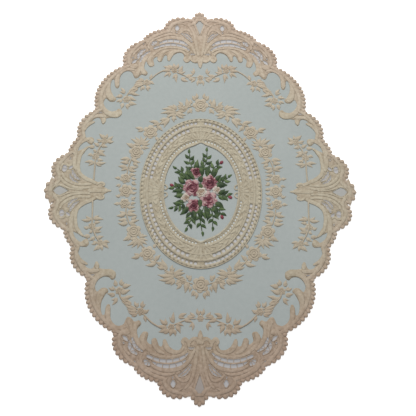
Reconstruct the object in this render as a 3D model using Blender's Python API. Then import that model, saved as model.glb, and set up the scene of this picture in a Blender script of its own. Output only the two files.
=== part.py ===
"""Lace doily: one flat oval cloth with a scalloped edge of picots and a raised embroidered border.

The cloth lies on the XY plane, its longer side along Y and its underside at z = 0. The border, the oval
medallion and the sprays are thicker than the plain cloth, and the openwork is cut right through.
All of the tables below are in millimetres and give the quarter x > 0, y > 0, which is mirrored four ways.
"""

import math

import bmesh
import bpy
from mathutils import Vector

# Driving dimensions, in metres
MM = 0.001
LENGTH = 400 * MM
WIDTH = 300 * MM
CLOTH = 1.0 * MM
BORDER = 1.6 * MM
SPRAY = 1.5 * MM
SCROLL = 2.0 * MM
PICOT_DEPTH = 1.3
LEAF_BELLY = 0.45
SAME_POINT = 1e-6
SWAY_X = 0.7
SWAY_Y = 0.5
OVERSHOOT = 1.0 * MM
RELIEF_FOOT = 0.4 * MM
FLAT_ANGLE = math.radians(0.5)

# Edge: each lobe runs on from the last one's end, (end_x, end_y, bulge, picots)
TIP_LOBE = (6.3, 196.2, 3.8, 3)
EDGE_LOBES = (
    (13.0, 190.0, -0.6, 2),
    (37.6, 178.5, 8.6, 7),
    (61.0, 162.7, 4.7, 7),
    (77.5, 134.3, 8.4, 8),
    (104.5, 84.3, 11.8, 14),
    (120.8, 55.2, 7.4, 8),
    (129.4, 36.2, 2.7, 5),
    (141.0, 13.5, 8.4, 7),
    (146.0, 7.2, 0.3, 2),
)
SIDE_LOBE = (4.0, 3)

# Inner edge of the border, from the top centre to the side centre: (x, y)
BORDER_EDGE = (
    (0.0, 140.0), (4.5, 139.5), (9.5, 143.0), (13.0, 139.0), (17.0, 143.5), (18.0, 151.0), (29.0, 154.8),
    (41.0, 153.3), (51.0, 148.5), (58.5, 136.5), (61.5, 126.0), (68.5, 129.3), (75.0, 130.3),
    (81.5, 126.3), (85.0, 119.0), (90.0, 118.5), (97.0, 108.0), (98.8, 97.0), (95.0, 79.0),
    (104.0, 78.8), (112.0, 73.0), (114.6, 60.0), (113.5, 53.2), (119.2, 48.5), (119.4, 29.0),
    (118.0, 18.0), (111.0, 10.0), (102.0, 9.0), (100.5, 4.5), (94.0, 6.8), (95.0, 2.0), (88.0, 0.0),
)

# Padded scrolls along the border: stations of (x, y, width)
SCROLLS = {
    "comma 1": ((22.0, 153.5, 2.0), (28.0, 150.5, 4.6), (31.3, 146.0, 4.4), (32.4, 141.8, 2.0)),
    "comma 2": ((34.5, 153.5, 2.0), (38.8, 150.0, 4.2), (40.8, 145.0, 4.2), (41.3, 140.3, 2.0)),
    "comma 3": ((44.5, 152.5, 2.5), (50.0, 147.5, 4.4), (51.6, 141.0, 4.8), (48.3, 135.6, 3.4)),
    "comma 4": ((56.0, 143.5, 4.4), (58.8, 136.5, 4.2), (58.6, 129.5, 4.0), (54.2, 126.4, 5.4)),
    "hook": ((62.5, 130.5, 4.0), (63.7, 126.0, 4.6), (65.0, 121.5, 3.4)),
    "finger": ((83.6, 124.0, 4.0), (83.4, 111.5, 3.2)),
    "sickle": ((94.0, 118.0, 3.0), (95.0, 109.5, 5.0), (92.6, 102.5, 5.2), (87.5, 97.6, 4.6)),
    "great scroll": ((99.8, 95.0, 4.6), (96.2, 84.8, 6.0), (89.8, 78.6, 5.8), (83.4, 77.4, 6.0),
                     (79.9, 80.5, 5.4), (80.6, 84.4, 4.2)),
    "drop": ((94.5, 77.0, 5.0), (96.2, 70.6, 3.8)),
    "blade": ((115.0, 62.0, 3.5), (113.0, 67.2, 5.2), (108.8, 70.4, 4.0), (103.6, 70.3, 1.8)),
    "fin": ((117.0, 52.4, 3.5), (111.5, 53.3, 4.6), (107.0, 51.8, 4.6), (105.2, 48.8, 2.6)),
    "great arc": ((108.0, 44.6, 2.8), (113.5, 43.0, 3.6), (118.6, 36.0, 5.0), (119.9, 25.0, 5.4),
                  (116.3, 14.8, 5.0), (110.2, 10.0, 4.2), (104.2, 9.2, 3.0)),
}

# Openings through the border: stations of (x, y, width)
OPENINGS = {
    "upper crescent": ((13.0, 160.3, 1.6), (17.0, 162.9, 3.0), (24.0, 164.9, 3.2), (31.0, 165.2, 3.2),
                       (37.5, 163.9, 2.6), (41.5, 161.9, 1.4)),
    "lower crescent": ((11.0, 153.9, 1.4), (14.6, 157.0, 2.4), (21.5, 159.9, 2.8), (30.0, 160.7, 2.8),
                       (39.0, 159.4, 2.8), (46.5, 156.3, 2.4)),
    "leaf slot": ((8.2, 164.2, 1.6), (11.2, 168.7, 3.6), (14.6, 171.9, 3.6), (18.6, 173.7, 1.6)),
    "eyelet": ((23.3, 182.0, 3.0), (23.4, 179.0, 3.0)),
    "shoulder eyelet": ((45.2, 163.6, 2.4), (47.2, 162.1, 4.0), (48.6, 160.6, 2.6)),
    "inner sickle": ((51.6, 151.9, 1.6), (55.6, 149.0, 2.8), (59.0, 145.0, 3.0), (60.8, 140.3, 1.6)),
    "outer sickle": ((56.6, 154.4, 1.8), (60.3, 151.4, 3.0), (62.7, 147.2, 2.8), (63.4, 143.2, 1.4)),
    "knee slot": ((65.2, 142.4, 1.6), (67.0, 140.4, 2.6), (68.8, 138.8, 1.4)),
    "half moon": ((5.8, 149.2, 2.6), (9.8, 149.2, 2.6)),
    "shell": ((131.2, 24.0, 4.0), (131.2, 21.8, 4.0)),
    "shell slot": ((124.3, 24.6, 2.4), (126.5, 22.9, 2.4)),
    "inner gills": ((123.7, 20.2, 1.8), (122.1, 16.5, 2.6), (119.3, 13.1, 2.4), (116.4, 11.4, 1.4)),
    "outer gills": ((125.8, 16.4, 1.4), (124.5, 13.0, 2.2), (121.5, 10.0, 2.0), (118.0, 8.4, 1.2)),
}

# Oval medallion: half axes along X and Y, and where its two ladders of holes run
MEDALLION = (58.0, 76.0)
MEDALLION_POINTS = 40
OVAL = (35.8, 48.4)
OVAL_POINTS = 32
LADDERS = {
    # name: (half axis x, half axis y, holes a quarter, first x, last y, along, across)
    "outer ladder": (54.2, 71.8, 20, 5.0, 15.5, 2.2, 2.0),
    "inner ladder": (49.0, 65.3, 14, 12.5, 14.5, 3.3, 2.5),
}

# Diamonds of plain cloth in the tips
TIP_DIAMOND = ((0.0, 189.3), (2.7, 185.0), (1.3, 178.5), (0.0, 174.5))
SIDE_DIAMOND = ((128.6, 0.0), (133.5, 3.9), (140.0, 0.0))

# Sprays: roses as (x, y, radius) and leaves as (root_x, root_y, tip_x, tip_y, width)
ROSES = ((49.5, 63.0, 7.4), (63.5, 40.7, 7.4), (29.5, 85.0, 6.4))
ROSES_ON_Y = ((0.0, 91.5, 8.4),)
ROSES_ON_X = ((71.5, 0.0, 6.4),)
LEAVES = (
    (15.0, 84.5, 13.6, 99.0, 4.4), (27.0, 80.0, 26.3, 72.5, 3.6), (41.5, 71.0, 51.5, 75.0, 3.4),
    (34.5, 78.0, 36.0, 68.5, 4.0), (60.0, 50.0, 68.5, 56.5, 4.6), (66.0, 34.5, 77.5, 31.5, 4.0),
    (69.5, 22.0, 80.5, 26.0, 4.6), (64.0, 14.0, 79.0, 12.6, 4.6), (20.0, 129.0, 41.0, 130.0, 5.0),
    (22.0, 121.0, 6.5, 124.0, 4.4), (54.0, 121.0, 52.0, 107.0, 4.2), (60.5, 118.0, 70.5, 109.5, 4.6),
    (75.0, 105.0, 66.0, 92.0, 6.0), (99.0, 49.0, 85.0, 55.0, 4.4), (91.5, 29.0, 112.5, 29.0, 4.0),
)
STEMS = {
    "side stem": ((103.0, 10.0, 2.4), (102.2, 30.0, 3.2), (98.0, 47.0, 3.0)),
}

# Posy in the middle, not mirrored: blooms as (x, y, radius) and leaves as above
POSY_BLOOMS = ((-7.5, 1.5, 8.6), (8.0, 7.0, 7.4), (5.0, -9.5, 7.0), (-9.0, -15.5, 5.2),
               (-4.0, 17.0, 5.0))
POSY_LEAVES = (
    (-5.0, 20.0, -9.0, 38.0, 5.0), (-1.0, 20.0, 5.0, 36.0, 5.0), (12.0, 12.0, 22.0, 26.0, 5.0),
    (14.0, 6.0, 27.0, 11.0, 4.6), (-12.0, 8.0, -22.0, 20.0, 5.0), (-15.0, 1.0, -27.0, 3.0, 4.6),
    (-8.0, -19.0, -12.0, -34.0, 5.0), (3.0, -15.0, 1.0, -36.0, 4.6), (10.0, -12.0, 23.0, -20.0, 5.0),
)


def clear_scene():
    for old in list(bpy.data.objects):
        bpy.data.objects.remove(old, do_unlink=True)


def new_collection(name):
    collection = bpy.data.collections.new(name)
    bpy.context.scene.collection.children.link(collection)
    return collection


def cloth_material():
    material = bpy.data.materials.new("embroidered cloth")
    material.use_nodes = True
    shader = material.node_tree.nodes["Principled BSDF"]
    shader.inputs["Base Color"].default_value = (0.55, 0.44, 0.33, 1.0)
    shader.inputs["Roughness"].default_value = 0.85
    shader.inputs["Metallic"].default_value = 0.0
    return material


def place(x, y):
    """A table's point in metres, with the slight sway of hand-pressed cloth, which is nil at the four tips."""
    sway_x = SWAY_X * math.sin(math.pi * y * MM / (LENGTH / 2))
    sway_y = SWAY_Y * math.sin(math.pi * x * MM / (WIDTH / 2))
    return ((x + sway_x) * MM, (y + sway_y) * MM)


def arc_point(start, end, bulge, t):
    """The point at t, from 0 to 1, on the arc that leaves its chord by bulge to the left of the run."""
    chord = Vector(end) - Vector(start)
    side = Vector((-chord.y, chord.x)).normalized()
    half = chord.length / 2
    angle = 2 * math.atan2(abs(bulge), half)
    radius = half / math.sin(angle)
    turn = (2 * t - 1) * angle
    along = half + radius * math.sin(turn)
    rise = radius * (math.cos(turn) - math.cos(angle))
    return Vector(start) + chord.normalized() * along + side * math.copysign(rise, bulge)


def picot_run(start, end, bulge, picots):
    """A lobe's edge: a valley and a peak for each picot, up to the next lobe's first valley."""
    points = []
    for index in range(picots):
        valley = arc_point(start, end, bulge, index / picots)
        before = arc_point(start, end, bulge, (index - 0.1) / picots)
        after = arc_point(start, end, bulge, (index + 0.1) / picots)
        run = (after - before).normalized()
        points.append(tuple(valley - Vector((-run.y, run.x)) * PICOT_DEPTH))
        points.append(tuple(arc_point(start, end, bulge, (index + 0.5) / picots)))
    return points


def quarter_turns(points):
    """A run from the top centre to the side centre, mirrored into a whole ring, clockwise."""
    right = points + [(x, -y) for x, y in reversed(points)]
    left = [(-x, -y) for x, y in points] + [(-x, y) for x, y in reversed(points)]
    ring = []
    for point in right + left:
        if not ring or (Vector(point) - Vector(ring[-1])).length > SAME_POINT:
            ring.append(point)
    if (Vector(ring[0]) - Vector(ring[-1])).length < SAME_POINT:
        ring.pop()
    return ring


def edge_outline():
    """The scalloped edge, lobe by lobe: the top tip's half, the quarter's lobes and the side tip's half."""
    start = (TIP_LOBE[0], TIP_LOBE[1])
    lobes = [((-start[0], start[1]), start, TIP_LOBE[2], TIP_LOBE[3])]
    for end_x, end_y, bulge, picots in EDGE_LOBES:
        lobes.append((start, (end_x, end_y), bulge, picots))
        start = (end_x, end_y)
    tip = picot_run(*lobes[0])
    quarter = [point for lobe in lobes[1:] for point in picot_run(*lobe)]
    side = picot_run(start, (start[0], -start[1]), *SIDE_LOBE)
    top_half = [point for point in tip if point[0] > -SAME_POINT]
    side_half = [point for point in side if point[1] > -SAME_POINT]
    return quarter_turns(top_half + quarter + side_half)


def ellipse(half_x, half_y, count):
    turns = [2 * math.pi * (index + 0.5) / count for index in range(count)]
    return [(half_x * math.cos(turn), half_y * math.sin(turn)) for turn in turns]


def stroke(stations):
    """The outline of a tapering stroke through its stations, with a blunt point at each end."""
    count = len(stations)
    left, right, ends = [], [], []
    for index, (x, y, width) in enumerate(stations):
        here = Vector((x, y))
        ahead = Vector(stations[min(index + 1, count - 1)][:2])
        behind = Vector(stations[max(index - 1, 0)][:2])
        run = (ahead - behind).normalized()
        side = Vector((-run.y, run.x)) * width / 2
        left.append(tuple(here + side))
        right.append(tuple(here - side))
        if index in (0, count - 1):
            ends.append(tuple(here + run * width / 2 * (1 if index else -1)))
    return left + [ends[1]] + right[::-1] + [ends[0]]


def rosette(x, y, radius, petals=4):
    """A bloom's scalloped outline: a point at each petal's middle and one where two petals meet."""
    points = []
    for index in range(petals):
        for share, reach in ((0.0, 0.84), (0.5, 1.0)):
            turn = 2 * math.pi * (index + share) / petals + 0.3
            points.append((x + radius * reach * math.cos(turn), y + radius * reach * math.sin(turn)))
    return points


def leaf(root_x, root_y, tip_x, tip_y, width):
    """A leaf's outline: its root, its tip and the widest place on either side."""
    root = Vector((root_x, root_y))
    run = Vector((tip_x, tip_y)) - root
    side = Vector((-run.y, run.x)).normalized() * width / 2
    belly = root + run * LEAF_BELLY
    return [tuple(root), tuple(belly + side), tuple(root + run), tuple(belly - side)]


def ladder_hole(half_x, half_y, turn, along, across):
    """A four-sided hole set square to the oval, at the angle turn on it."""
    centre = Vector((half_x * math.cos(turn), half_y * math.sin(turn)))
    run = Vector((-half_x * math.sin(turn), half_y * math.cos(turn))).normalized() * along / 2
    out = Vector((run.y, -run.x)).normalized() * across / 2
    return [tuple(centre + run + out), tuple(centre + run - out), tuple(centre - run - out),
            tuple(centre - run + out)]


def ladder_turns(half_x, half_y, count, first_x, last_y):
    """Angles of a quarter's holes, spaced evenly along the oval from near the top to near the side."""
    first = math.acos(first_x / half_x)
    last = math.asin(last_y / half_y)
    steps = 400
    turns = [first + (last - first) * step / steps for step in range(steps + 1)]
    run = [0.0]
    for before, after in zip(turns, turns[1:]):
        step_x = half_x * (math.cos(after) - math.cos(before))
        step_y = half_y * (math.sin(after) - math.sin(before))
        run.append(run[-1] + math.hypot(step_x, step_y))
    picked = []
    for index in range(count):
        goal = run[-1] * index / (count - 1)
        nearest = min(range(steps + 1), key=lambda step: abs(run[step] - goal))
        picked.append(turns[nearest])
    return picked


def mirrored(points):
    """A closed outline in each of the four quarters."""
    return [[(x * flip_x, y * flip_y) for x, y in points] for flip_x in (1, -1) for flip_y in (1, -1)]


def mirrored_on_y(points):
    return [[(x, y * flip) for x, y in points] for flip in (1, -1)]


def mirrored_on_x(points):
    return [[(x * flip, y) for x, y in points] for flip in (1, -1)]


def slab(name, outlines, bottom, top, collection):
    """A flat outline, with any further outlines as its holes, made solid from bottom to top."""
    curve = bpy.data.curves.new(name, "CURVE")
    curve.dimensions = "2D"
    curve.fill_mode = "BOTH"
    curve.extrude = (top - bottom) / 2
    for outline in outlines:
        spline = curve.splines.new("POLY")
        spline.points.add(len(outline) - 1)
        for point, (x, y) in zip(spline.points, outline):
            point.co = (*place(x, y), 0.0, 1.0)
        spline.use_cyclic_u = True
    drawn = bpy.data.objects.new(name, curve)
    drawn.location.z = (top + bottom) / 2
    collection.objects.link(drawn)
    bpy.context.view_layer.update()
    evaluated = drawn.evaluated_get(bpy.context.evaluated_depsgraph_get())
    mesh = bpy.data.meshes.new_from_object(evaluated)
    shape = bmesh.new()
    shape.from_mesh(mesh)
    bmesh.ops.remove_doubles(shape, verts=shape.verts, dist=1e-6)
    bmesh.ops.dissolve_limit(shape, angle_limit=FLAT_ANGLE, verts=shape.verts, edges=shape.edges)
    bmesh.ops.recalc_face_normals(shape, faces=shape.faces)
    shape.to_mesh(mesh)
    shape.free()
    standing = drawn.matrix_world.copy()
    bpy.data.objects.remove(drawn, do_unlink=True)
    solid = bpy.data.objects.new(name, mesh)
    solid.matrix_world = standing
    collection.objects.link(solid)
    return solid


def boolean(target, operation, collection):
    modifier = target.modifiers.new(collection.name, "BOOLEAN")
    modifier.operation = operation
    modifier.operand_type = "COLLECTION"
    modifier.collection = collection
    modifier.solver = "EXACT"


def sink_plain_cloth(collection):
    """Cutters that leave the plain cloth thinner than the border and the medallion."""
    top = BORDER + OVERSHOOT
    field = quarter_turns(list(BORDER_EDGE))
    oval = ellipse(*OVAL, OVAL_POINTS)
    tip = list(TIP_DIAMOND) + [(-x, y) for x, y in reversed(TIP_DIAMOND[1:-1])]
    side = list(SIDE_DIAMOND) + [(x, -y) for x, y in reversed(SIDE_DIAMOND[1:-1])]
    slab("plain field", [field, ellipse(*MEDALLION, MEDALLION_POINTS)], CLOTH, top, collection)
    slab("plain oval", [oval], CLOTH, top, collection)
    slab("tip diamonds", mirrored_on_y(tip) + mirrored_on_x(side), CLOTH, top, collection)


def raise_scrolls(collection):
    for name, stations in SCROLLS.items():
        slab(name, mirrored(stroke(stations)), RELIEF_FOOT, SCROLL, collection)


def raise_sprays(collection):
    shapes = [("rose", mirrored(rosette(*row))) for row in ROSES]
    shapes += [("rose", mirrored_on_y(rosette(*row))) for row in ROSES_ON_Y]
    shapes += [("rose", mirrored_on_x(rosette(*row))) for row in ROSES_ON_X]
    shapes += [("leaf", mirrored(leaf(*row))) for row in LEAVES]
    shapes += [(name, mirrored(stroke(stations))) for name, stations in STEMS.items()]
    shapes += [("posy bloom", [rosette(*row)]) for row in POSY_BLOOMS]
    shapes += [("posy leaf", [leaf(*row)]) for row in POSY_LEAVES]
    for name, outlines in shapes:
        slab(name, outlines, RELIEF_FOOT, SPRAY, collection)


def cut_openwork(collection):
    outlines = [outline for stations in OPENINGS.values() for outline in mirrored(stroke(stations))]
    for half_x, half_y, count, first_x, last_y, along, across in LADDERS.values():
        for turn in ladder_turns(half_x, half_y, count, first_x, last_y):
            outlines += mirrored(ladder_hole(half_x, half_y, turn, along, across))
    slab("openings", outlines, -OVERSHOOT, SCROLL + OVERSHOOT, collection)


def make_doily():
    steps = (("DIFFERENCE", "sunk cloth", sink_plain_cloth), ("UNION", "raised scrolls", raise_scrolls),
             ("UNION", "raised sprays", raise_sprays), ("DIFFERENCE", "openwork", cut_openwork))
    tools = []
    for operation, name, fill in steps:
        collection = new_collection(name)
        fill(collection)
        for tool in collection.objects:
            tool.hide_render = True
            tool.display_type = "WIRE"
        tools.append((operation, collection))
    doily = slab("doily", [edge_outline()], 0.0, BORDER, new_collection("lace doily"))
    doily.data.materials.append(cloth_material())
    for operation, collection in tools:
        boolean(doily, operation, collection)


clear_scene()
make_doily()
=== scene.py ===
"""A lace doily: a flat oval cloth with picots round its edge, openwork and satin-stitched scrolls."""

import math

import bpy
import numpy as np
from mathutils import Matrix, Vector, kdtree, noise
from mathutils.geometry import delaunay_2d_cdt


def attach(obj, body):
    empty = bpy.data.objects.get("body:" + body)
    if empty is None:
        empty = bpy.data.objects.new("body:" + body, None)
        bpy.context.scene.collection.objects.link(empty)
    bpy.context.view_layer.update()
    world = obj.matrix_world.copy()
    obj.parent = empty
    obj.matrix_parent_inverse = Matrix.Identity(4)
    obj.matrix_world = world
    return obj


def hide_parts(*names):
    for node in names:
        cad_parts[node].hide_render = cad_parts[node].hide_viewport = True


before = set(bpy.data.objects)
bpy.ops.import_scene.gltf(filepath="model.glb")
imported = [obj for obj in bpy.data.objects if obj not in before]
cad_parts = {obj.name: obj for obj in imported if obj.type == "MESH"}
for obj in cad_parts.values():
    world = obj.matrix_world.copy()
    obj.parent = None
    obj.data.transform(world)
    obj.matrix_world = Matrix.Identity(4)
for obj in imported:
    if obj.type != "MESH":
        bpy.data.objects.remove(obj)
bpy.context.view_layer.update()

# Sizes are in millimetres, and times MM they are metres; the camera's and the lamps' are in metres
MM = 0.001
PITCH, YAW, ROLL = -0.333261, 0.027436, -0.005532
SLIDE_X, SLIDE_Y, STAND_OFF = -0.006756, 0.015815, 0.709565
LENS, SENSOR_WIDTH, NEAREST = 64.003, 36.0, 0.01
TABLE_TOP, TABLE_REACH, TABLE_GLOW, TABLE_GRAIN = -0.3, 3000.0, 0.50, 6.0
TABLE_TONES = (0.93, 0.93, 0.93), (0.95, 0.95, 0.95)
# How much any of it shines
SHINE = 0.25
# Each lamp's place, what it is aimed at, its size, its watts and its colour
LAMPS = {
    "far lamp": ((-0.10, 0.80, 0.62), (0.0, 0.05, 0.0), 0.70, 8.4, (1.0, 0.99, 0.97)),
    "top lamp": ((0.1, 0.3, 1.6), (0.0, 0.0, 0.0), 1.2, 3.8, (1.0, 1.0, 1.0)),
}
ROOM_COLOUR, ROOM_LIGHT = (0.95, 0.97, 1.0, 1.0), 0.41


def stand(name, data):
    """Puts a new object in the scene."""
    thing = bpy.data.objects.new(name, data)
    bpy.context.scene.collection.objects.link(thing)
    return thing


turn = Matrix.Rotation(ROLL, 3, "Z") @ Matrix.Rotation(YAW, 3, "Y") @ Matrix.Rotation(PITCH, 3, "X")
turned_back = turn.transposed()
camera = stand("camera", bpy.data.cameras.new("camera"))
camera.data.lens = LENS
camera.data.sensor_width = SENSOR_WIDTH
camera.data.clip_start = NEAREST
eye = turned_back @ Vector((-SLIDE_X, -SLIDE_Y, STAND_OFF))
camera.matrix_world = Matrix.Translation(eye) @ turned_back.to_4x4()
bpy.context.scene.camera = camera


class Value:
    """The output of a node. Python's own signs on it add Math nodes."""

    def __init__(self, nodes, output):
        self.nodes = nodes
        self.output = output

    def maths(self, operation, *numbers):
        return self.nodes.add("ShaderNodeMath", {"operation": operation}, dict(enumerate(numbers)))

    def __add__(self, other):
        return self.maths("ADD", self, other)

    def __radd__(self, other):
        return self.maths("ADD", other, self)

    def __sub__(self, other):
        return self.maths("SUBTRACT", self, other)

    def __rsub__(self, other):
        return self.maths("SUBTRACT", other, self)

    def __mul__(self, other):
        return self.maths("MULTIPLY", self, other)

    def __rmul__(self, other):
        return self.maths("MULTIPLY", other, self)

    def __truediv__(self, other):
        return self.maths("DIVIDE", self, other)

    def __pow__(self, other):
        return self.maths("POWER", self, other)

    def wave(self):
        return self.maths("SINE", self)

    def ridges(self, pitch):
        """A wave that comes again at every pitch, in millimetres."""
        return (self * (2 * math.pi / (pitch * MM))).wave()

    def size(self):
        return self.maths("ABSOLUTE", self)

    def at_most(self, limit):
        return self.maths("MINIMUM", self, limit)

    def at_least(self, limit):
        return self.maths("MAXIMUM", self, limit)

    def clamped(self):
        return self.at_least(0.0).at_most(1.0)

    def rising(self, start, over):
        """From 0 at the start to 1 once this has grown by over."""
        return ((self - start) / over).clamped()


class Nodes:
    """A tree of shader or geometry nodes, added one at a time."""

    def __init__(self, tree):
        self.tree = tree

    def add(self, kind, settings=None, sockets=None, output=0):
        node = self.tree.nodes.new(kind)
        for name, setting in (settings or {}).items():
            setattr(node, name, setting)
        for name, number in (sockets or {}).items():
            if isinstance(number, Value):
                self.tree.links.new(number.output, node.inputs[name])
            else:
                node.inputs[name].default_value = number
        return Value(self, node.outputs[output] if node.outputs else None)

    def feed(self, node, socket, number):
        self.tree.links.new(number.output, node.inputs[socket])

    def mix(self, share, first, second, how="MIX"):
        """Two colours blended by share. With MULTIPLY the second is laid over the first as a tint."""
        colours = [c if isinstance(c, Value) else (*c[:3], 1.0) for c in (first, second)]
        return self.add("ShaderNodeMix", {"data_type": "RGBA", "blend_type": how},
                        {0: share, 6: colours[0], 7: colours[1]}, 2)

    def tinted(self, tone, tints):
        """A colour with each tint laid over it in turn, by its own share."""
        for share, tint in tints:
            tone = self.mix(share, tone, tint, "MULTIPLY")
        return tone

    def clouds(self, spot, scale, detail=2.0):
        """Soft random patches from 0 to 1, finer as scale grows."""
        return self.add("ShaderNodeTexNoise", None, {"Vector": spot, "Scale": scale, "Detail": detail})

    def spot(self):
        """Where a point of the piece is."""
        return self.add("ShaderNodeTexCoord", output=3)

    def split(self, vector):
        """The first two numbers of a vector: across the doily, and along it."""
        across = self.add("ShaderNodeSeparateXYZ", None, {"Vector": vector})
        return across, Value(self, across.output.node.outputs["Y"])

    def mark(self, name):
        """A number that the piece carries at each of its points."""
        return self.add("ShaderNodeAttribute", {"attribute_name": name}, output=2)


def new_finish(name, roughness):
    """A material, its nodes and its shader, with the roughness set on the shader itself."""
    material = bpy.data.materials.new(name)
    material.use_nodes = True
    shader = material.node_tree.nodes["Principled BSDF"]
    shader.inputs["Roughness"].default_value = roughness
    shader.inputs["Specular IOR Level"].default_value = SHINE
    return material, Nodes(material.node_tree), shader


table_paint, nodes, shader = new_finish("pale table top", 0.9)
nodes.feed(shader, "Base Color", nodes.mix(nodes.clouds(nodes.spot(), TABLE_GRAIN), *TABLE_TONES))
shader.inputs["Emission Color"].default_value = (1.0, 1.0, 1.0, 1.0)
shader.inputs["Emission Strength"].default_value = TABLE_GLOW
table_mesh = bpy.data.meshes.new("table top")
corners = [(x * TABLE_REACH * MM, y * TABLE_REACH * MM, TABLE_TOP * MM)
           for x, y in ((-1, -1), (1, -1), (1, 1), (-1, 1))]
table_mesh.from_pydata(corners, [], [(0, 1, 2, 3)])
table_mesh.materials.append(table_paint)
table_top = stand("table_top", table_mesh)

for name, (seat, aim, size, watts, colour) in LAMPS.items():
    lamp = stand(name, bpy.data.lights.new(name, "AREA"))
    lamp.data.shape = "DISK"
    lamp.data.size = size
    lamp.data.energy = watts
    lamp.data.color = colour
    lamp.location = seat
    lamp.rotation_mode = "QUATERNION"
    lamp.rotation_quaternion = (Vector(aim) - Vector(seat)).to_track_quat("-Z", "Y")
room = bpy.data.worlds.new("room")
room.use_nodes = True
room.node_tree.nodes["Background"].inputs["Color"].default_value = ROOM_COLOUR
room.node_tree.nodes["Background"].inputs["Strength"].default_value = ROOM_LIGHT
bpy.context.scene.world = room
bpy.context.scene.view_settings.view_transform = "Standard"
bpy.context.scene.view_settings.look = "None"

# The plain cloth: one piece of fine plain-weave polyester, pressed flat, cut to the scalloped outline.
# It shows in the field, in the oval and in the tips, and the openwork is cut right through it.
LENGTH, WIDTH = 400.0, 300.0
BOW = 1.5
CLOTH_BACK, CLOTH_FACE, CLOTH_SWELL, SWELL_SIZE = 0.15, 0.55, 0.10, (38.0, 46.0)
NOTCH, NOTCH_SIDE = 1.7, 0.35
# The edge's lobes in a quarter, from the top tip on: where each ends, its bulge, and its picots
TIP_LOBE = (5.7, 195.9, 4.1, 3)
EDGE_LOBES = (
    (12.4, 189.6, -0.6, 2), (37.6, 178.5, 8.6, 7), (61.0, 162.7, 4.7, 7), (77.5, 134.3, 8.4, 8),
    (104.5, 84.3, 11.8, 14), (120.8, 55.2, 7.4, 8), (129.4, 36.2, 2.7, 5), (141.7, 13.1, 8.4, 7),
    (146.0, 7.2, 0.3, 2),
)
SIDE_LOBE = (4.0, 3)
# Openings through the border: the middle line of each in a quarter, as (x, y, width)
OPENINGS = {
    "upper crescent": ((13.0, 160.3, 1.6), (17.0, 162.9, 3.0), (24.0, 164.9, 3.2), (31.0, 165.2, 3.2),
                       (37.5, 163.9, 2.6), (41.5, 161.9, 1.4)),
    "lower crescent": ((11.0, 153.9, 1.4), (14.6, 157.0, 2.4), (21.5, 159.9, 2.8), (30.0, 160.7, 2.8),
                       (39.0, 159.4, 2.8), (46.5, 156.3, 2.4)),
    "leaf slot": ((8.2, 164.2, 1.6), (11.2, 168.7, 3.6), (14.6, 171.9, 3.6), (18.6, 173.7, 1.6)),
    "eyelet": ((23.3, 182.2, 2.4), (23.4, 180.4, 3.6), (23.4, 178.6, 2.4)),
    "shoulder eyelet": ((45.2, 163.6, 2.4), (47.2, 162.1, 4.0), (48.6, 160.6, 2.6)),
    "inner sickle": ((51.6, 151.9, 1.6), (55.6, 149.0, 2.8), (59.0, 145.0, 3.0), (60.8, 140.3, 1.6)),
    "outer sickle": ((56.6, 154.4, 1.8), (60.3, 151.4, 3.0), (62.7, 147.2, 2.8), (63.4, 143.2, 1.4)),
    "knee slot": ((65.2, 142.4, 1.6), (67.0, 140.4, 2.6), (68.8, 138.8, 1.4)),
    "half moon": ((5.6, 149.2, 1.8), (8.0, 149.6, 3.0), (10.2, 149.0, 1.8)),
    "shell": ((131.4, 24.4, 3.2), (131.2, 22.8, 4.2), (131.6, 21.2, 3.2)),
    "shell slot": ((123.9, 25.0, 1.6), (125.4, 23.8, 2.8), (126.9, 22.4, 1.6)),
    "inner gills": ((123.7, 20.2, 1.8), (122.1, 16.5, 2.6), (119.3, 13.1, 2.4), (116.4, 11.4, 1.4)),
    "outer gills": ((125.8, 16.4, 1.4), (124.5, 13.0, 2.2), (121.5, 10.0, 2.0), (118.0, 8.4, 1.2)),
    "small eyelet": ((23.8, 175.6, 1.6), (23.8, 174.6, 1.6)),
    "edge eyelet": ((57.6, 162.0, 1.6), (58.0, 160.8, 1.6)),
    "knee eyelet": ((68.1, 145.1, 1.8), (68.7, 144.3, 1.8)),
    "bridge slot": ((98.0, 82.3, 1.4), (100.4, 82.8, 2.0), (102.8, 82.3, 1.4)),
    "gill": ((126.1, 33.8, 1.6), (126.3, 32.6, 1.6)),
}
# Cut work eases open a little along its curves: how much wider than the pattern each opening stands
EASED = {"upper crescent": 1.28, "lower crescent": 1.30, "inner sickle": 1.46, "outer sickle": 1.46,
         "inner gills": 1.40, "outer gills": 1.40, "leaf slot": 1.25, "shoulder eyelet": 1.35,
         "knee slot": 1.5, "shell": 1.45, "shell slot": 1.25, "eyelet": 1.5}
# Ladders of small holes: half axes of the oval they follow, holes a quarter, first x, last y, size
LADDERS = (
    (54.2, 71.8, 20, 5.0, 15.5, 2.7, 2.6),
    (49.2, 65.5, 14, 12.5, 14.5, 3.3, 2.9),
)
# How holes are drawn: their cut corners, the turn of a slit's end points, how far apart its points are,
# and the steps that measure an oval
HOLE_CORNER, SLOT_ROUND, SLOT_STEP, FINE_STEPS = 0.55, 0.9, 1.2, 400
# The four quarters, and the gap under which two points are one
FLIPS = ((1, 1), (-1, 1), (1, -1), (-1, -1))
TOUCH, SAME_SPOT = 1e-6, 1e-5
# Points inside a sheet: the rows' share of the spacing, and how clear of the edges they stay
ROW_SHARE, CLEAR_SHARE = 0.866, 0.55
# How close together the spots are that the nearest edge is looked for among
RIM_STEP, OUTER_STEP = 0.4, 0.5


def place(x, y):
    """A point of the pattern, in millimetres: the cloth lies a little bowed, with both tips to the left."""
    return (x - BOW * (y / (LENGTH / 2)) ** 2, y)


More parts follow.
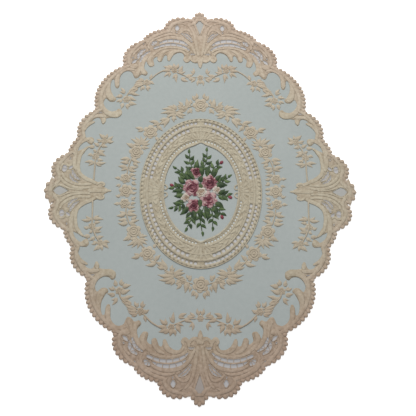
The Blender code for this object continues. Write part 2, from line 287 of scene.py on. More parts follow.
def arc_point(start, end, bulge, t):
    """The point at t, from 0 to 1, on the arc that leaves its chord by bulge, and the way outwards."""
    chord = Vector(end) - Vector(start)
    side = Vector((-chord.y, chord.x)).normalized()
    half = chord.length / 2
    angle = 2 * math.atan2(abs(bulge), half)
    radius = half / math.sin(angle)
    swing = (2 * t - 1) * angle
    along = half + radius * math.sin(swing)
    rise = radius * (math.cos(swing) - math.cos(angle))
    point = Vector(start) + chord.normalized() * along + side * math.copysign(rise, bulge)
    lean = math.copysign(swing, bulge)
    outward = side * math.cos(lean) + chord.normalized() * math.sin(lean)
    return point, outward


def quarter_lobes():
    """The lobes from the top tip to the side tip, as start, end, bulge and number of picots."""
    start = TIP_LOBE[:2]
    lobes = [((-start[0], start[1]), start, TIP_LOBE[2], TIP_LOBE[3])]
    for end_x, end_y, bulge, picots in EDGE_LOBES:
        lobes.append((start, (end_x, end_y), bulge, picots))
        start = (end_x, end_y)
    lobes.append((start, (start[0], -start[1]), *SIDE_LOBE))
    return lobes


def mirrored(points):
    """Stations of the pattern in each of the four quarters; a run on an axis comes once a side."""
    copies = []
    for flip_x, flip_y in FLIPS:
        copy = [(p[0] * flip_x, p[1] * flip_y, *p[2:]) for p in points]
        if copy not in copies:
            copies.append(copy)
    return copies


def in_quarter(points):
    return [p for p in points if p[0] > -TOUCH and p[1] > -TOUCH]


def quarter_ring(points):
    """A run from the top centre to the side centre, mirrored into a whole ring, clockwise."""
    right = points + [(x, -y) for x, y in reversed(points)]
    left = [(-x, -y) for x, y in points] + [(-x, y) for x, y in reversed(points)]
    ring = []
    for point in right + left:
        if not ring or math.dist(point, ring[-1]) > TOUCH:
            ring.append(point)
    if math.dist(ring[0], ring[-1]) < TOUCH:
        ring.pop()
    return ring


def edge_ring(notch):
    """The scalloped outline, with a valley on either side of each picot."""
    points = []
    half_way = notch * NOTCH_SIDE
    for start, end, bulge, picots in quarter_lobes():
        for index in range(picots):
            for share, depth in ((0.0, notch), (0.25, half_way), (0.5, 0.0), (0.75, half_way)):
                point, outward = arc_point(start, end, bulge, (index + share) / picots)
                points.append(tuple(point - outward * depth))
    return quarter_ring(in_quarter(points))


def smooth_path(stations, step):
    """A smooth path through the stations, with a point about every step; every number is carried."""
    rows = np.array(stations, float)
    if len(rows) == 2:
        count = max(2, round(math.dist(rows[0][:2], rows[1][:2]) / step))
        return [tuple(rows[0] + (rows[1] - rows[0]) * i / count) for i in range(count + 1)]
    # One more station beyond each end, so that the path bends there as it does elsewhere
    longer = np.vstack([2 * rows[0] - rows[1], rows, 2 * rows[-1] - rows[-2]])
    path = []
    for index in range(1, len(longer) - 2):
        a, b, c, d = longer[index - 1:index + 3]
        count = max(1, round(math.dist(b[:2], c[:2]) / step))
        for part in range(count):
            t = part / count
            path.append(tuple(0.5 * (2 * b + (c - a) * t + (2 * a - 5 * b + 4 * c - d) * t ** 2
                                     + (3 * b - a - 3 * c + d) * t ** 3)))
    path.append(tuple(rows[-1]))
    return path


def slot_outline(stations):
    """The closed outline of a slit that follows its stations, with round ends."""
    path = smooth_path(stations, SLOT_STEP)
    left, right, ends = [], [], []
    for index, (x, y, width) in enumerate(path):
        ahead = Vector(path[min(index + 1, len(path) - 1)][:2])
        behind = Vector(path[max(index - 1, 0)][:2])
        run = (ahead - behind).normalized()
        out = Vector((-run.y, run.x))
        middle = Vector((x, y))
        left.append(tuple(middle + out * width / 2))
        right.append(tuple(middle - out * width / 2))
        if index in (0, len(path) - 1):
            sign = 1 if index else -1
            leans = (SLOT_ROUND * sign, 0.0, -SLOT_ROUND * sign)
            ends.append([tuple(middle + run * sign * width / 2 * math.cos(lean)
                               + out * width / 2 * math.sin(lean)) for lean in leans])
    # Up the left side, round the far end, down the right side and round the near end
    return left + ends[1] + right[::-1] + ends[0]


def ladder_places(half_x, half_y, count, first_x, last_y):
    """Angles of a quarter's holes, evenly spaced along the oval."""
    first = math.acos(first_x / half_x)
    last = math.asin(last_y / half_y)
    angles = [first + (last - first) * step / FINE_STEPS for step in range(FINE_STEPS + 1)]
    run = [0.0]
    for before, after in zip(angles, angles[1:]):
        step_x = half_x * (math.cos(after) - math.cos(before))
        step_y = half_y * (math.sin(after) - math.sin(before))
        run.append(run[-1] + math.hypot(step_x, step_y))
    return [angles[int(np.argmin(np.abs(np.array(run) - run[-1] * i / (count - 1))))]
            for i in range(count)]


def ladder_outline(half_x, half_y, angle, along, across):
    """A small hole with cut corners, set square to the oval."""
    centre = Vector((half_x * math.cos(angle), half_y * math.sin(angle)))
    run = Vector((-half_x * math.sin(angle), half_y * math.cos(angle))).normalized() * along / 2
    out = Vector((run.y, -run.x)).normalized() * across / 2
    cut = HOLE_CORNER
    corners = ((1, cut), (cut, 1), (-cut, 1), (-1, cut), (-1, -cut), (-cut, -1), (cut, -1), (1, -cut))
    return [tuple(centre + run * a + out * b) for a, b in corners]


def openwork():
    """Every hole of the openwork, as closed outlines."""
    holes = []
    for name, stations in OPENINGS.items():
        wider = [(x, y, width * EASED.get(name, 1.0)) for x, y, width in stations]
        holes += [slot_outline(quarter) for quarter in mirrored(wider)]
    for half_x, half_y, count, first_x, last_y, along, across in LADDERS:
        for angle in ladder_places(half_x, half_y, count, first_x, last_y):
            holes += mirrored(ladder_outline(half_x, half_y, angle, along, across))
    return holes


def even_odd(points, outlines):
    """Which points lie inside an odd number of the outlines."""
    inside = np.zeros(len(points), bool)
    for outline in outlines:
        ring = np.array(outline)
        after = np.roll(ring, -1, axis=0)
        low, high = ring.min(axis=0), ring.max(axis=0)
        near = np.flatnonzero(((points >= low) & (points <= high)).all(axis=1))
        x, y = points[near, 0], points[near, 1]
        crossed = np.zeros(len(near), bool)
        for (ax, ay), (bx, by) in zip(ring, after):
            if ay != by:
                crossed ^= ((ay > y) != (by > y)) & (x < (bx - ax) * (y - ay) / (by - ay) + ax)
        inside[near[crossed]] ^= True
    return inside


def finder_among(spots):
    """A finder of the nearest of many spots."""
    tree = kdtree.KDTree(len(spots))
    for index, spot in enumerate(spots):
        tree.insert((spot[0], spot[1], 0.0), index)
    tree.balance()
    return tree


def closer(outlines, step):
    """A finder of the nearest point on the outlines."""
    spots = []
    for outline in outlines:
        for before, after in zip(outline, outline[1:] + outline[:1]):
            parts = max(1, math.ceil(math.dist(before, after) / step))
            spots += [tuple(Vector(before).lerp(Vector(after), i / parts)) for i in range(parts)]
    return finder_among(spots)


def carry(mesh, name, numbers):
    """Gives each point of a mesh its own number."""
    mesh.attributes.new(name, "FLOAT", "POINT").data.foreach_set("value", numbers)


def sheet_mesh(name, outlines, spacing, back, face):
    """A thin closed sheet inside the outlines. face gives its upper height from x, y and the
    distance to the nearest edge; back is its flat underside. All in millimetres."""
    as_laid = [[place(*point) for point in outline] for outline in outlines]
    rim = [Vector(point) for outline in as_laid for point in outline]
    bonds = []
    for outline in as_laid:
        first = len(bonds)
        bonds += [(first + i, first + (i + 1) % len(outline)) for i in range(len(outline))]
    finder = closer(as_laid, RIM_STEP)
    # Points inside the outlines, in staggered rows, and not too close to an edge
    low = np.array(rim).min(axis=0)
    high = np.array(rim).max(axis=0)
    rows = np.arange(low[1], high[1], spacing * ROW_SHARE)
    grid = np.array([(x + (spacing / 2 if row % 2 else 0.0), y) for row, y in enumerate(rows)
                     for x in np.arange(low[0], high[0], spacing)])
    grid = grid[even_odd(grid, as_laid)]
    inner = [Vector(p) for p in grid if finder.find((p[0], p[1], 0.0))[2] > spacing * CLEAR_SHARE]
    points, _, faces, origin, _, _ = delaunay_2d_cdt(rim + inner, bonds, [], 1, SAME_SPOT, True)
    points = np.array(points)
    faces = np.array(faces)
    # A triangle between points of the rim alone may lie over a hole, so it is kept only if it doesn't
    loose = np.array([bool(starts) and min(starts) >= len(rim) for starts in origin])
    doubtful = ~loose[faces].any(axis=1)
    keep = np.ones(len(faces), bool)
    middles = points[faces[doubtful]].mean(axis=1)
    keep[np.flatnonzero(doubtful)] = even_odd(middles, as_laid)
    faces = faces[keep]
    # An edge that only one triangle has is where a wall goes down to the underside
    edges = dict.fromkeys(pair for a, b, c in faces for pair in ((a, b), (b, c), (c, a)))
    wall = [pair for pair in edges if (pair[1], pair[0]) not in edges]
    used = np.unique(faces)
    number = np.full(len(points), -1)
    number[used] = np.arange(len(used))
    gaps = [finder.find((x, y, 0.0))[2] for x, y in points[used]]
    upper = [(x * MM, y * MM, face(x, y, gap) * MM) for (x, y), gap in zip(points[used], gaps)]
    lower = [(x * MM, y * MM, back * MM) for x, y in points[used]]
    count = len(used)
    tops = [tuple(int(number[i]) for i in row) for row in faces]
    bottoms = [(c + count, b + count, a + count) for a, b, c in tops]
    sides = [(int(number[b]), int(number[a]), int(number[a]) + count, int(number[b]) + count)
             for a, b in wall]
    mesh = bpy.data.meshes.new(name)
    mesh.from_pydata(upper + lower, [], tops + bottoms + sides)
    mesh.update()
    carry(mesh, "to rim", gaps + [0.0] * count)
    mesh.polygons.foreach_set("use_smooth", [True] * (2 * len(tops)) + [False] * len(sides))
    return mesh


HOLES = openwork()
OUTER_RING = edge_ring(0.0)
outer_finder = closer([[place(*point) for point in OUTER_RING]], OUTER_STEP)


def lay(name, mesh, material=None):
    """Puts a finished piece on the doily, with how far each point is from the outer edge."""
    if material:
        mesh.materials.append(material)
    carry(mesh, "inland", [outer_finder.find((v.co.x / MM, v.co.y / MM, 0.0))[2] for v in mesh.vertices])
    piece = stand(name, mesh)
    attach(piece, "root")
    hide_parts("doily")
    return piece


def cloth_face(x, y, gap):
    """The cloth's upper side: it swells a little here and there, as cloth does after pressing."""
    return CLOTH_FACE + CLOTH_SWELL * noise.noise(Vector((x / SWELL_SIZE[0], y / SWELL_SIZE[1], 3.0)))


def footward(along):
    """From 0 at the far tip to 1 at the near one."""
    return (0.5 - along / (LENGTH * MM)).clamped()


def oval_reach(across, along, half_x, half_y):
    """0 in the middle of the doily and 1 on the oval with these half axes."""
    return across * across / (half_x * MM) ** 2 + along * along / (half_y * MM) ** 2


def dress(nodes, shader, tone, height, strength, depth, sheen):
    """Gives a finish its colour, the relief of its threads and a soft sheen."""
    nodes.feed(shader, "Base Color", tone)
    bump = nodes.add("ShaderNodeBump", None,
                     {"Strength": strength, "Distance": depth * MM, "Height": height})
    nodes.feed(shader, "Normal", bump)
    shader.inputs["Sheen Weight"].default_value = sheen


# The weave: how far apart its threads are, and how far apart the points of the cloth's mesh are
THREAD, WEAVE_SPACING = 0.42, 3.4
# How fine its slubs and clouds are, how much of each shows, and the least shade
SLUBS, CLOUDS, BY_SLUB, BY_CLOUD, SHADE_LEAST = (260.0, 3.0), (14.0, 2.0), 0.40, 0.45, 0.06
# Its darkest and palest tones; then the windows' oval and the painted light that lifts their shade,
# and how it is tinted from head to foot and in the tips
CLOTH_TONES = (0.336, 0.370, 0.356), (0.456, 0.488, 0.468)
WINDOW_OVAL, WINDOW_SHARP, WINDOW_LIGHT_TONE = (39.2, 52.2), 40.0, (0.58, 0.60, 0.57)
HEAD_AND_FOOT_TONES = (0.93, 0.93, 0.93), (1.05, 1.05, 1.06)
TIP_TINTS, TIPS_FROM, TIPS_OVER = ((1.07, 0.98, 0.96), (0.92, 0.74, 0.69)), 0.81, 0.04

weave, nodes, shader = new_finish("plain weave", 0.88)
spot = nodes.spot()
across, along = nodes.split(spot)
slub = nodes.clouds(spot, *SLUBS)
cloudy = nodes.clouds(spot, *CLOUDS)
shade = (cloudy * BY_CLOUD + slub * BY_SLUB + SHADE_LEAST).clamped()
# Under the medallion's small windows the cloth is painted paler: painted light that lifts the shade in these
# shallow recesses
off_windows = oval_reach(across, along, *WINDOW_OVAL) - 1.0
thin = (1.0 - off_windows * off_windows * WINDOW_SHARP).clamped()
tone = nodes.mix(thin, nodes.mix(shade, *CLOTH_TONES), WINDOW_LIGHT_TONE)
# It is darker at the far tip and paler towards the foot
head_and_foot = nodes.mix(footward(along), *HEAD_AND_FOOT_TONES)
# In the diamonds of the four tips it takes up a warmer tint, deepest at the foot
off_side, off_tip = across / (WIDTH / 2 * MM), along / (LENGTH / 2 * MM)
in_tips = off_side.size().at_least(off_tip.size()).rising(TIPS_FROM, TIPS_OVER)
tint = nodes.mix((0.0 - off_tip).clamped(), *TIP_TINTS)
threads = across.ridges(THREAD) * along.ridges(THREAD) * 0.5 + slub
dress(nodes, shader, nodes.tinted(tone, ((1.0, head_and_foot), (in_tips, tint))), threads,
      strength=0.25, depth=0.08, sheen=0.15)

cloth_outlines = [edge_ring(NOTCH)] + HOLES
cloth_mesh = sheet_mesh("plain_cloth", cloth_outlines, WEAVE_SPACING, CLOTH_BACK, cloth_face)
cloth = lay("plain_cloth", cloth_mesh, weave)

# A grey card under the cloth, a little smaller, so it shows only in the openings: its grey is painted shade
# seen through them.
# It also glows with painted light, most of it under the ladders in the middle, and least at the foot.
CARD_SHARE, CARD_TOP, CARD_FIBRES = 0.978, 0.05, 90.0
CARD_SHADE_TONES = (0.27, 0.26, 0.26), (0.32, 0.31, 0.31)
CARD_GLOW, HEAD_TO_FOOT_GLOW = 0.24, ((1.0, 0.99, 1.0), (0.68, 0.67, 0.68))
BRIGHT_OVAL, MIDDLE_GLOW = (62.0, 81.0), (1.0, 0.99, 0.96)

shade_card_paint, nodes, shader = new_finish("grey card of painted shade and glow", 0.9)
spot = nodes.spot()
across, along = nodes.split(spot)
# The card's grey tone is painted shade for the openings; the glow set below is painted light
nodes.feed(shader, "Base Color", nodes.mix(nodes.clouds(spot, CARD_FIBRES), *CARD_SHADE_TONES))
middle = (3.0 - oval_reach(across, along, *BRIGHT_OVAL) * 2.0).clamped()
outer = nodes.mix(footward(along), *HEAD_TO_FOOT_GLOW)
nodes.feed(shader, "Emission Color", nodes.mix(middle, outer, MIDDLE_GLOW))
shader.inputs["Emission Strength"].default_value = CARD_GLOW
card_points = [(x * CARD_SHARE * MM, y * CARD_SHARE * MM, CARD_TOP * MM)
               for x, y in (place(*point) for point in OUTER_RING)]
card_mesh = bpy.data.meshes.new("card")
card_mesh.from_pydata(card_points[::-1], [], [tuple(range(len(card_points)))])
card_mesh.materials.append(shade_card_paint)
card = stand("card", card_mesh)

# The border's stitching: dense fill stitches in pinkish cotton that cover the cloth along the edge,
# a little thicker than the plain cloth. It is worked round the openings, round a diamond in each tip
# and up to the lines of the scrolls, where the needle holes draw it down.

# The inner edge of the stitching, and half of the diamond left open in each long and each short tip
BORDER_EDGE = (
    (0.0, 139.4), (3.5, 139.2), (6.8, 139.4), (9.6, 142.2), (12.2, 139.8), (15.0, 139.6), (17.2, 142.6),
    (16.4, 147.6), (19.0, 151.0), (24.0, 150.4), (28.6, 146.4), (31.0, 141.0), (33.4, 142.0),
    (34.0, 147.4), (36.6, 147.2), (39.6, 140.4), (43.0, 141.0), (43.8, 146.0), (47.6, 143.0),
    (46.6, 136.2), (49.6, 134.2), (53.4, 137.0), (55.0, 140.6), (56.6, 133.0), (53.2, 127.6), (55.4, 124.2),
    (59.6, 125.4), (62.6, 122.2), (65.8, 121.2), (67.6, 124.0), (69.4, 128.0), (73.6, 129.2), (78.0, 127.2),
    (81.0, 122.0), (81.4, 112.0), (83.6, 109.6), (86.0, 112.0), (87.0, 119.6), (89.4, 117.6),
    (90.0, 109.0), (87.0, 101.6), (84.2, 98.0), (86.0, 94.8), (90.6, 94.8), (94.6, 98.2), (96.6, 93.0),
    (95.6, 87.2), (91.0, 84.4), (84.6, 84.6), (81.4, 87.2), (78.2, 85.0), (78.2, 80.0), (83.0, 77.0),
    (90.0, 76.8), (94.0, 75.4), (94.8, 70.4), (97.4, 70.0), (99.6, 76.2), (104.6, 75.8), (107.4, 72.4),
    (112.0, 66.8), (114.2, 59.0), (112.6, 55.6), (106.6, 55.8), (104.2, 52.6), (106.0, 48.0),
    (109.2, 48.6), (111.6, 50.8), (115.4, 49.6), (118.8, 45.4), (119.4, 41.4), (114.8, 43.4),
    (109.6, 46.6), (111.8, 41.2), (115.2, 35.6), (116.6, 29.0), (116.6, 22.6), (114.4, 17.6),
    (109.4, 13.6), (103.6, 11.6), (99.4, 9.0), (95.0, 9.4), (91.6, 7.6), (92.6, 4.2), (89.6, 2.0),
    (85.6, 0.0),
)
TIP_DIAMOND = ((0.0, 190.2), (2.4, 188.4), (4.4, 184.8), (2.5, 178.8), (0.0, 172.6))
SIDE_DIAMOND = ((126.2, 0.0), (130.6, 2.9), (134.8, 5.1), (138.5, 3.5), (141.2, 0.0))
FILL_BACK, FILL_EDGE, FILL_RISE, FILL_ROUND, FILL_LUMPS = 0.08, 0.60, 0.28, 1.0, 0.17
DRAWN_DOWN, DRAWN_REACH, NEAR_SPOTS = 0.15, 1.0, 8
# Lumps of three sizes: how high each stands beside the first, its size and its layer
LUMP_SIZES = ((1.0, 2.3, 1.0), (0.6, 5.0, 7.0), (0.8, 1.3, 4.0))
BORDER_SPACING, RIM_SHADE = 1.15, 0.9
# Half axes of an oval that has all of the ladders' holes inside it and none of the border's
MEDALLION_REACH = (80, 100)
# The ribs that stitches leave on a stroke, and the width of its two ends
RIBS, BLUNT_END = 0.03, 0.25
# Middle lines of the scrolls in a quarter, as (x, y, width)
SCROLLS = (
    ((2.2, 145.8, 2.0), (2.6, 142.8, 2.8), (5.6, 141.2, 3.2), (8.6, 142.8, 2.8), (9.2, 145.4, 1.8)),
    ((9.8, 148.4, 2.4), (11.0, 143.8, 3.2), (13.8, 141.6, 3.8), (15.8, 143.8, 3.0), (14.8, 146.6, 1.8)),
    ((14.2, 148.0, 1.8), (17.2, 151.9, 2.4), (22.0, 153.4, 3.0), (27.4, 151.6, 4.2), (30.8, 147.0, 4.8),
     (32.2, 141.6, 3.0)),
    ((31.5, 154.2, 1.8), (36.0, 152.4, 3.0), (39.6, 148.8, 4.0), (41.4, 144.0, 4.4), (41.6, 140.6, 3.0)),
    ((41.0, 153.6, 2.0), (45.4, 151.2, 3.0), (49.6, 147.2, 3.8), (51.8, 141.6, 4.4), (50.4, 136.8, 4.2),
     (48.6, 135.6, 3.0)),
    ((49.5, 151.3, 2.6), (54.6, 146.0, 3.8), (57.8, 140.0, 4.2), (59.0, 133.6, 4.2), (58.0, 128.6, 4.6),
     (55.2, 126.4, 5.0)),
    ((61.2, 140.0, 2.0), (61.6, 134.0, 2.6), (62.8, 128.6, 4.0), (65.0, 123.6, 5.0)),
    ((66.5, 130.4, 1.8), (71.5, 131.7, 3.2), (77.0, 130.4, 3.8), (81.0, 127.0, 4.0), (83.2, 122.5, 4.4),
     (83.8, 116.5, 4.8), (83.6, 111.4, 4.2)),
    ((89.6, 120.5, 2.0), (92.2, 113.5, 3.6), (92.6, 107.0, 5.0), (91.2, 101.5, 6.4), (88.4, 98.0, 6.0),
     (86.6, 97.4, 5.0)),
    ((98.8, 97.0, 3.0), (98.0, 90.0, 4.4), (94.8, 84.4, 5.2), (89.4, 80.9, 6.2), (83.6, 80.4, 6.8),
     (80.8, 82.6, 6.2), (80.6, 84.4, 5.0)),
    ((93.5, 78.4, 3.0), (99.5, 79.0, 3.4), (106.0, 77.8, 3.6), (111.0, 73.6, 4.0), (114.0, 68.0, 3.4)),
    ((95.2, 77.0, 3.8), (96.0, 73.0, 4.4), (96.4, 70.8, 3.6)),
    ((116.0, 60.0, 2.6), (113.4, 66.6, 4.0), (109.4, 70.2, 3.4), (104.4, 72.6, 1.8)),
    ((106.4, 53.6, 4.4), (107.0, 51.0, 4.6), (107.6, 49.4, 3.6)),
    ((107.5, 54.0, 3.2), (112.5, 53.1, 3.8), (117.0, 50.4, 4.2), (120.3, 46.0, 4.2), (121.9, 39.5, 4.2),
     (122.4, 32.0, 4.2), (121.8, 25.5, 3.8), (120.4, 21.0, 2.6)),
    ((109.6, 45.4, 1.8), (113.2, 42.4, 2.8), (116.4, 37.8, 3.2), (118.0, 31.5, 3.4), (118.4, 25.0, 3.4),
     (117.4, 19.0, 3.8), (114.2, 15.0, 3.8), (109.6, 11.8, 4.0), (104.4, 9.6, 3.8), (100.6, 7.0, 2.6)),
    ((100.0, 5.6, 2.0), (97.2, 8.0, 2.2), (93.8, 7.8, 2.4), (92.6, 5.8, 1.8), (94.4, 4.4, 1.6)),
    ((104.5, 6.6, 2.2), (112.5, 6.2, 2.8), (120.0, 6.7, 2.8), (126.4, 9.4, 3.0), (131.2, 13.4, 3.0),
     (133.6, 18.0, 2.2)),
    ((105.5, 3.0, 2.0), (114.0, 2.7, 2.6), (122.0, 3.8, 2.8), (128.6, 6.7, 2.8), (133.0, 10.6, 2.4),
     (135.4, 14.0, 1.6)),
    ((124.6, 27.2, 1.8), (127.6, 25.4, 2.0), (130.2, 27.4, 2.2), (133.4, 27.2, 2.2), (135.2, 24.0, 2.0),
     (134.8, 20.5, 1.6)),
    ((1.6, 147.4, 2.4), (3.3, 156.0, 3.2), (4.6, 166.0, 3.2), (6.2, 174.0, 2.8), (9.4, 180.5, 2.6),
     (13.2, 184.8, 1.6)),
    ((4.4, 149.5, 2.2), (8.0, 157.4, 3.2), (12.4, 163.4, 3.4), (18.4, 167.4, 3.6), (26.0, 168.9, 3.6),
     (34.0, 168.3, 3.4), (40.6, 165.8, 2.8), (43.2, 164.2, 1.8)),
    ((21.6, 170.9, 1.6), (27.0, 172.6, 2.4), (34.0, 172.0, 2.6), (41.0, 169.6, 2.6), (47.2, 166.8, 2.4),
     (51.2, 163.0, 2.4), (53.0, 158.6, 2.4), (52.0, 155.0, 2.0)),
    ((8.4, 171.2, 1.6), (10.3, 176.2, 2.4), (14.0, 178.2, 2.6), (18.4, 176.4, 2.4), (22.2, 172.4, 1.6)),
    ((12.8, 157.6, 1.0), (17.0, 160.2, 1.2), (24.0, 162.3, 1.3), (31.0, 162.9, 1.3), (38.0, 161.5, 1.2),
     (45.0, 158.6, 1.0)),
    ((11.5, 151.5, 1.8), (15.5, 154.4, 2.2), (22.0, 156.5, 2.4), (30.0, 157.3, 2.4), (38.0, 155.8, 2.6),
     (45.0, 152.8, 2.6)),
    ((63.4, 135.8, 4.2), (67.6, 134.8, 6.4), (71.6, 135.8, 4.2)),
    ((0.8, 171.6, 1.2), (3.2, 178.8, 1.6), (5.0, 185.0, 1.8), (2.2, 190.4, 1.4)),
    ((112.0, 0.9, 1.2), (120.0, 1.2, 1.4), (127.0, 2.6, 1.6), (134.4, 5.8, 1.6), (139.4, 4.2, 1.6),
     (142.6, 1.0, 1.4)),
    ((62.0, 155.5, 1.8), (66.2, 151.4, 2.4), (68.8, 147.0, 1.8)),
    ((8.2, 164.6, 0.9), (11.4, 168.9, 1.0), (14.8, 172.0, 1.0), (18.2, 173.8, 0.9)),
    ((14.6, 184.0, 1.2), (18.4, 186.0, 1.8), (24.4, 185.6, 2.2), (29.0, 181.8, 2.4), (30.2, 177.4, 1.8),
     (28.2, 174.8, 1.2)),
    ((0.0, 146.0, 4.0), (0.0, 139.0, 4.8), (0.0, 133.5, 1.6)),
    ((108.0, 0.0, 4.4), (98.0, 0.0, 4.2), (85.5, 0.0, 1.6)),
)


def dyed(red, green, blue):
    """A colour as a dyer's chart gives it, from 0 to 255, turned into the shader's own numbers."""
    return tuple(((c / 255 + 0.055) / 1.055) ** 2.4 for c in (red, green, blue)) + (1.0,)


def blunt(path, ripple=RIBS):
    """Half widths along a path of (x, y, width): round at both ends, and gently ribbed by the stitches."""
    runs = [0.0]
    for before, after in zip(path, path[1:]):
        runs.append(runs[-1] + math.dist(before[:2], after[:2]))
    shaped = []
    for index, (x, y, width) in enumerate(path):
        half = width / 2
        nearest = min(runs[index], runs[-1] - runs[index])
        if nearest < half:
            half *= max(BLUNT_END, math.sqrt(1 - (1 - nearest / half) ** 2))
        shaped.append((x, y, half * (1 + ripple * (-1) ** index)))
    return shaped


def quartered(rows, step, ripple=RIBS):
    """Blunt strokes along each row of stations, in all four quarters."""
    return [path for stations in rows for path in mirrored(blunt(smooth_path(stations, step), ripple))]


scroll_paths = quartered(SCROLLS, 0.8)
scroll_spots = [(*place(x, y), half) for path in scroll_paths for x, y, half in path]
scroll_finder = finder_among(scroll_spots)


def beside_scroll(x, y):
    """How far a point is from the nearest scroll's edge, in millimetres; less than nothing beneath it."""
    near = scroll_finder.find_n((x, y, 0.0), NEAR_SPOTS)
    return min(gap - scroll_spots[number][2] for _, number, gap in near)


def padded(gap):
    """How high a padded piece has risen at this distance inside its rim, from 0 to 1."""
    return math.sqrt(1 - (1 - min(gap / FILL_ROUND, 1.0)) ** 2)


def lump(x, y, size, layer):
    """Soft random heights, about size apart, unlike those of any other layer."""
    return noise.noise(Vector((x / size, y / size, layer)))


def fill_face(x, y, gap):
    """The border's upper side: padded, lumpy with stitches, and drawn down beside the scrolls."""
    lumps = sum(share * lump(x, y, size, layer) for share, size, layer in LUMP_SIZES)
    drawn = max(0.0, 1 - abs(beside_scroll(x, y)) / DRAWN_REACH)
    return FILL_EDGE + FILL_RISE * padded(gap) + FILL_LUMPS * lumps * min(gap, 1.0) - DRAWN_DOWN * drawn


# The cotton: its stitches' length, and how fine its specks and patches are
COTTON_STITCH, SPECKS, PATCHES = 0.55, (420.0, 3.0), (55.0, 2.0)
# How far in from the outer edge it is pinkish: a band, then a fade that is longer at the tips, and that
# is over sooner at the sides and later at the foot
EDGE_BAND, EDGE_REACH, TIP_REACH, BY_SIDE, BY_FOOT = 3.0, 11.0, 34.0, 0.45, 0.30
# How much patches and single stitches show in the darker specks, which are partly random tone and partly
# painted shade between stitches, and how much of the rest is unshaded
PATCHY, BY_STITCH, LEVEL = 0.7, 0.05, 0.62
# What tints it: painted shade between stitches and along rims, then a pink tint towards both tips, and
# towards the foot a pinker, darker tint and then painted shade over the near tip. These last three start at
# a share of the way to the tip, squared for the first, and grow over another
SHADE_BETWEEN, SHADE_ALONG_RIM = (0.66, 0.60, 0.54), (0.58, 0.54, 0.47)
AT_TIPS = (0.16, 0.40), (0.970, 0.920, 0.925)
FOOT_TINT_AND_SHADE = (((0.20, 0.45), (0.940, 0.905, 0.890)), ((0.86, 0.12), (0.90, 0.89, 0.88)))


def cotton(name, near_edge, further_in, stitch_depth, rim_shade, fleck):
    """Embroidery cotton: pinkish by the outer edge and the tips, creamier inside and to the sides; painted
    shade darkens it between stitches, along rims and towards the foot.
    """
    material, nodes, shader = new_finish(name, 0.72)
    spot = nodes.spot()
    across, along = nodes.split(spot)
    to_side = across / (WIDTH / 2 * MM)
    to_tip = along / (-LENGTH / 2 * MM)
    to_foot = to_tip.clamped()
    reach = EDGE_REACH + to_tip * to_tip * TIP_REACH
    further = (nodes.mark("inland") - EDGE_BAND) / reach + to_side * to_side * BY_SIDE
    further = (further - to_foot * to_foot * BY_FOOT).clamped()
    speck = nodes.clouds(spot, *SPECKS)
    patch = nodes.clouds(spot, *PATCHES)
    stitch = nodes.mark("along").ridges(COTTON_STITCH)
    unshaded = ((speck - 0.5) * fleck + (patch - 0.5) * PATCHY + LEVEL - stitch * BY_STITCH).clamped()
    # Painted shade: darker specks between stitches, and a darker line along rims and scrolls
    tints = [(1.0 - unshaded, SHADE_BETWEEN), ((nodes.mark("flank_shade") * rim_shade).clamped(), SHADE_ALONG_RIM),
             ((to_tip * to_tip).rising(*AT_TIPS[0]), AT_TIPS[1])]
    # Towards the foot a pinker, darker tint, then painted shade over the near tip
    tints += [(to_foot.rising(*span), tint) for span, tint in FOOT_TINT_AND_SHADE]
    tone = nodes.tinted(nodes.mix(further, dyed(*near_edge), dyed(*further_in)), tints)
    dress(nodes, shader, tone, stitch * 0.5 + speck, strength=0.5, depth=stitch_depth, sheen=0.2)
    return material


fill_cotton = cotton("fill stitches", (185, 171, 153), (188, 177, 156),
                     stitch_depth=0.22, rim_shade=0.25, fleck=2.0)
satin_cotton = cotton("satin stitches", (195, 181, 162), (196, 187, 166),
                      stitch_depth=0.12, rim_shade=0.24, fleck=1.6)


def shade_rims(mesh, reach, by_scrolls=False):
    """Marks how near each point is to a rim or a scroll, for a line of painted shade there."""
    gaps = np.zeros(len(mesh.vertices))
    mesh.attributes["to rim"].data.foreach_get("value", gaps)
    marks = np.clip(1 - gaps / reach, 0, 1)
    if by_scrolls:
        sides = [beside_scroll(v.co.x / MM, v.co.y / MM) for v in mesh.vertices]
        marks = np.maximum(marks, np.clip(1 - np.abs(sides) / DRAWN_REACH, 0, 1))
    carry(mesh, "flank_shade", marks)


def in_medallion(hole):
    """Whether a hole is one of the ladders', and not of the border's."""
    return math.hypot(hole[0][0] / MEDALLION_REACH[0], hole[0][1] / MEDALLION_REACH[1]) <= 1


inner_ring = quarter_ring([p[:2] for p in smooth_path(BORDER_EDGE, 1.6)])
tip = TIP_DIAMOND + tuple((-x, y) for x, y in TIP_DIAMOND[-2:0:-1])
side = SIDE_DIAMOND + tuple((x, -y) for x, y in SIDE_DIAMOND[-2:0:-1])
diamonds = [[(x, y * flip) for x, y in tip] for flip in (1, -1)]
diamonds += [[(x * flip, y) for x, y in side] for flip in (1, -1)]
border_holes = [hole for hole in HOLES if not in_medallion(hole)]
border_outlines = [edge_ring(NOTCH), inner_ring] + diamonds + border_holes
border_mesh = sheet_mesh("border_stitching", border_outlines, BORDER_SPACING, FILL_BACK, fill_face)
shade_rims(border_mesh, RIM_SHADE, by_scrolls=True)
lay("border_stitching", border_mesh, fill_cotton)

# The picots: small round loops of buttonhole stitch, side by side along the whole edge.
# Each is worked over the cut edge, so it is the thickest place there.
picot_cotton = cotton("picot stitches", (199, 183, 165), (202, 188, 169),
                      stitch_depth=0.12, rim_shade=0.75, fleck=1.6)
PICOT_IN, PICOT_HEIGHT, PICOT_HALF = 2.2, 0.72, (2.3, 1.95, 0.60)
# The most of its pitch that half a picot takes up, the shade at its foot, and how near an axis is on it
PICOT_SHARE, PICOT_SHADE, ON_AXIS = 0.46, 1.15, 0.5


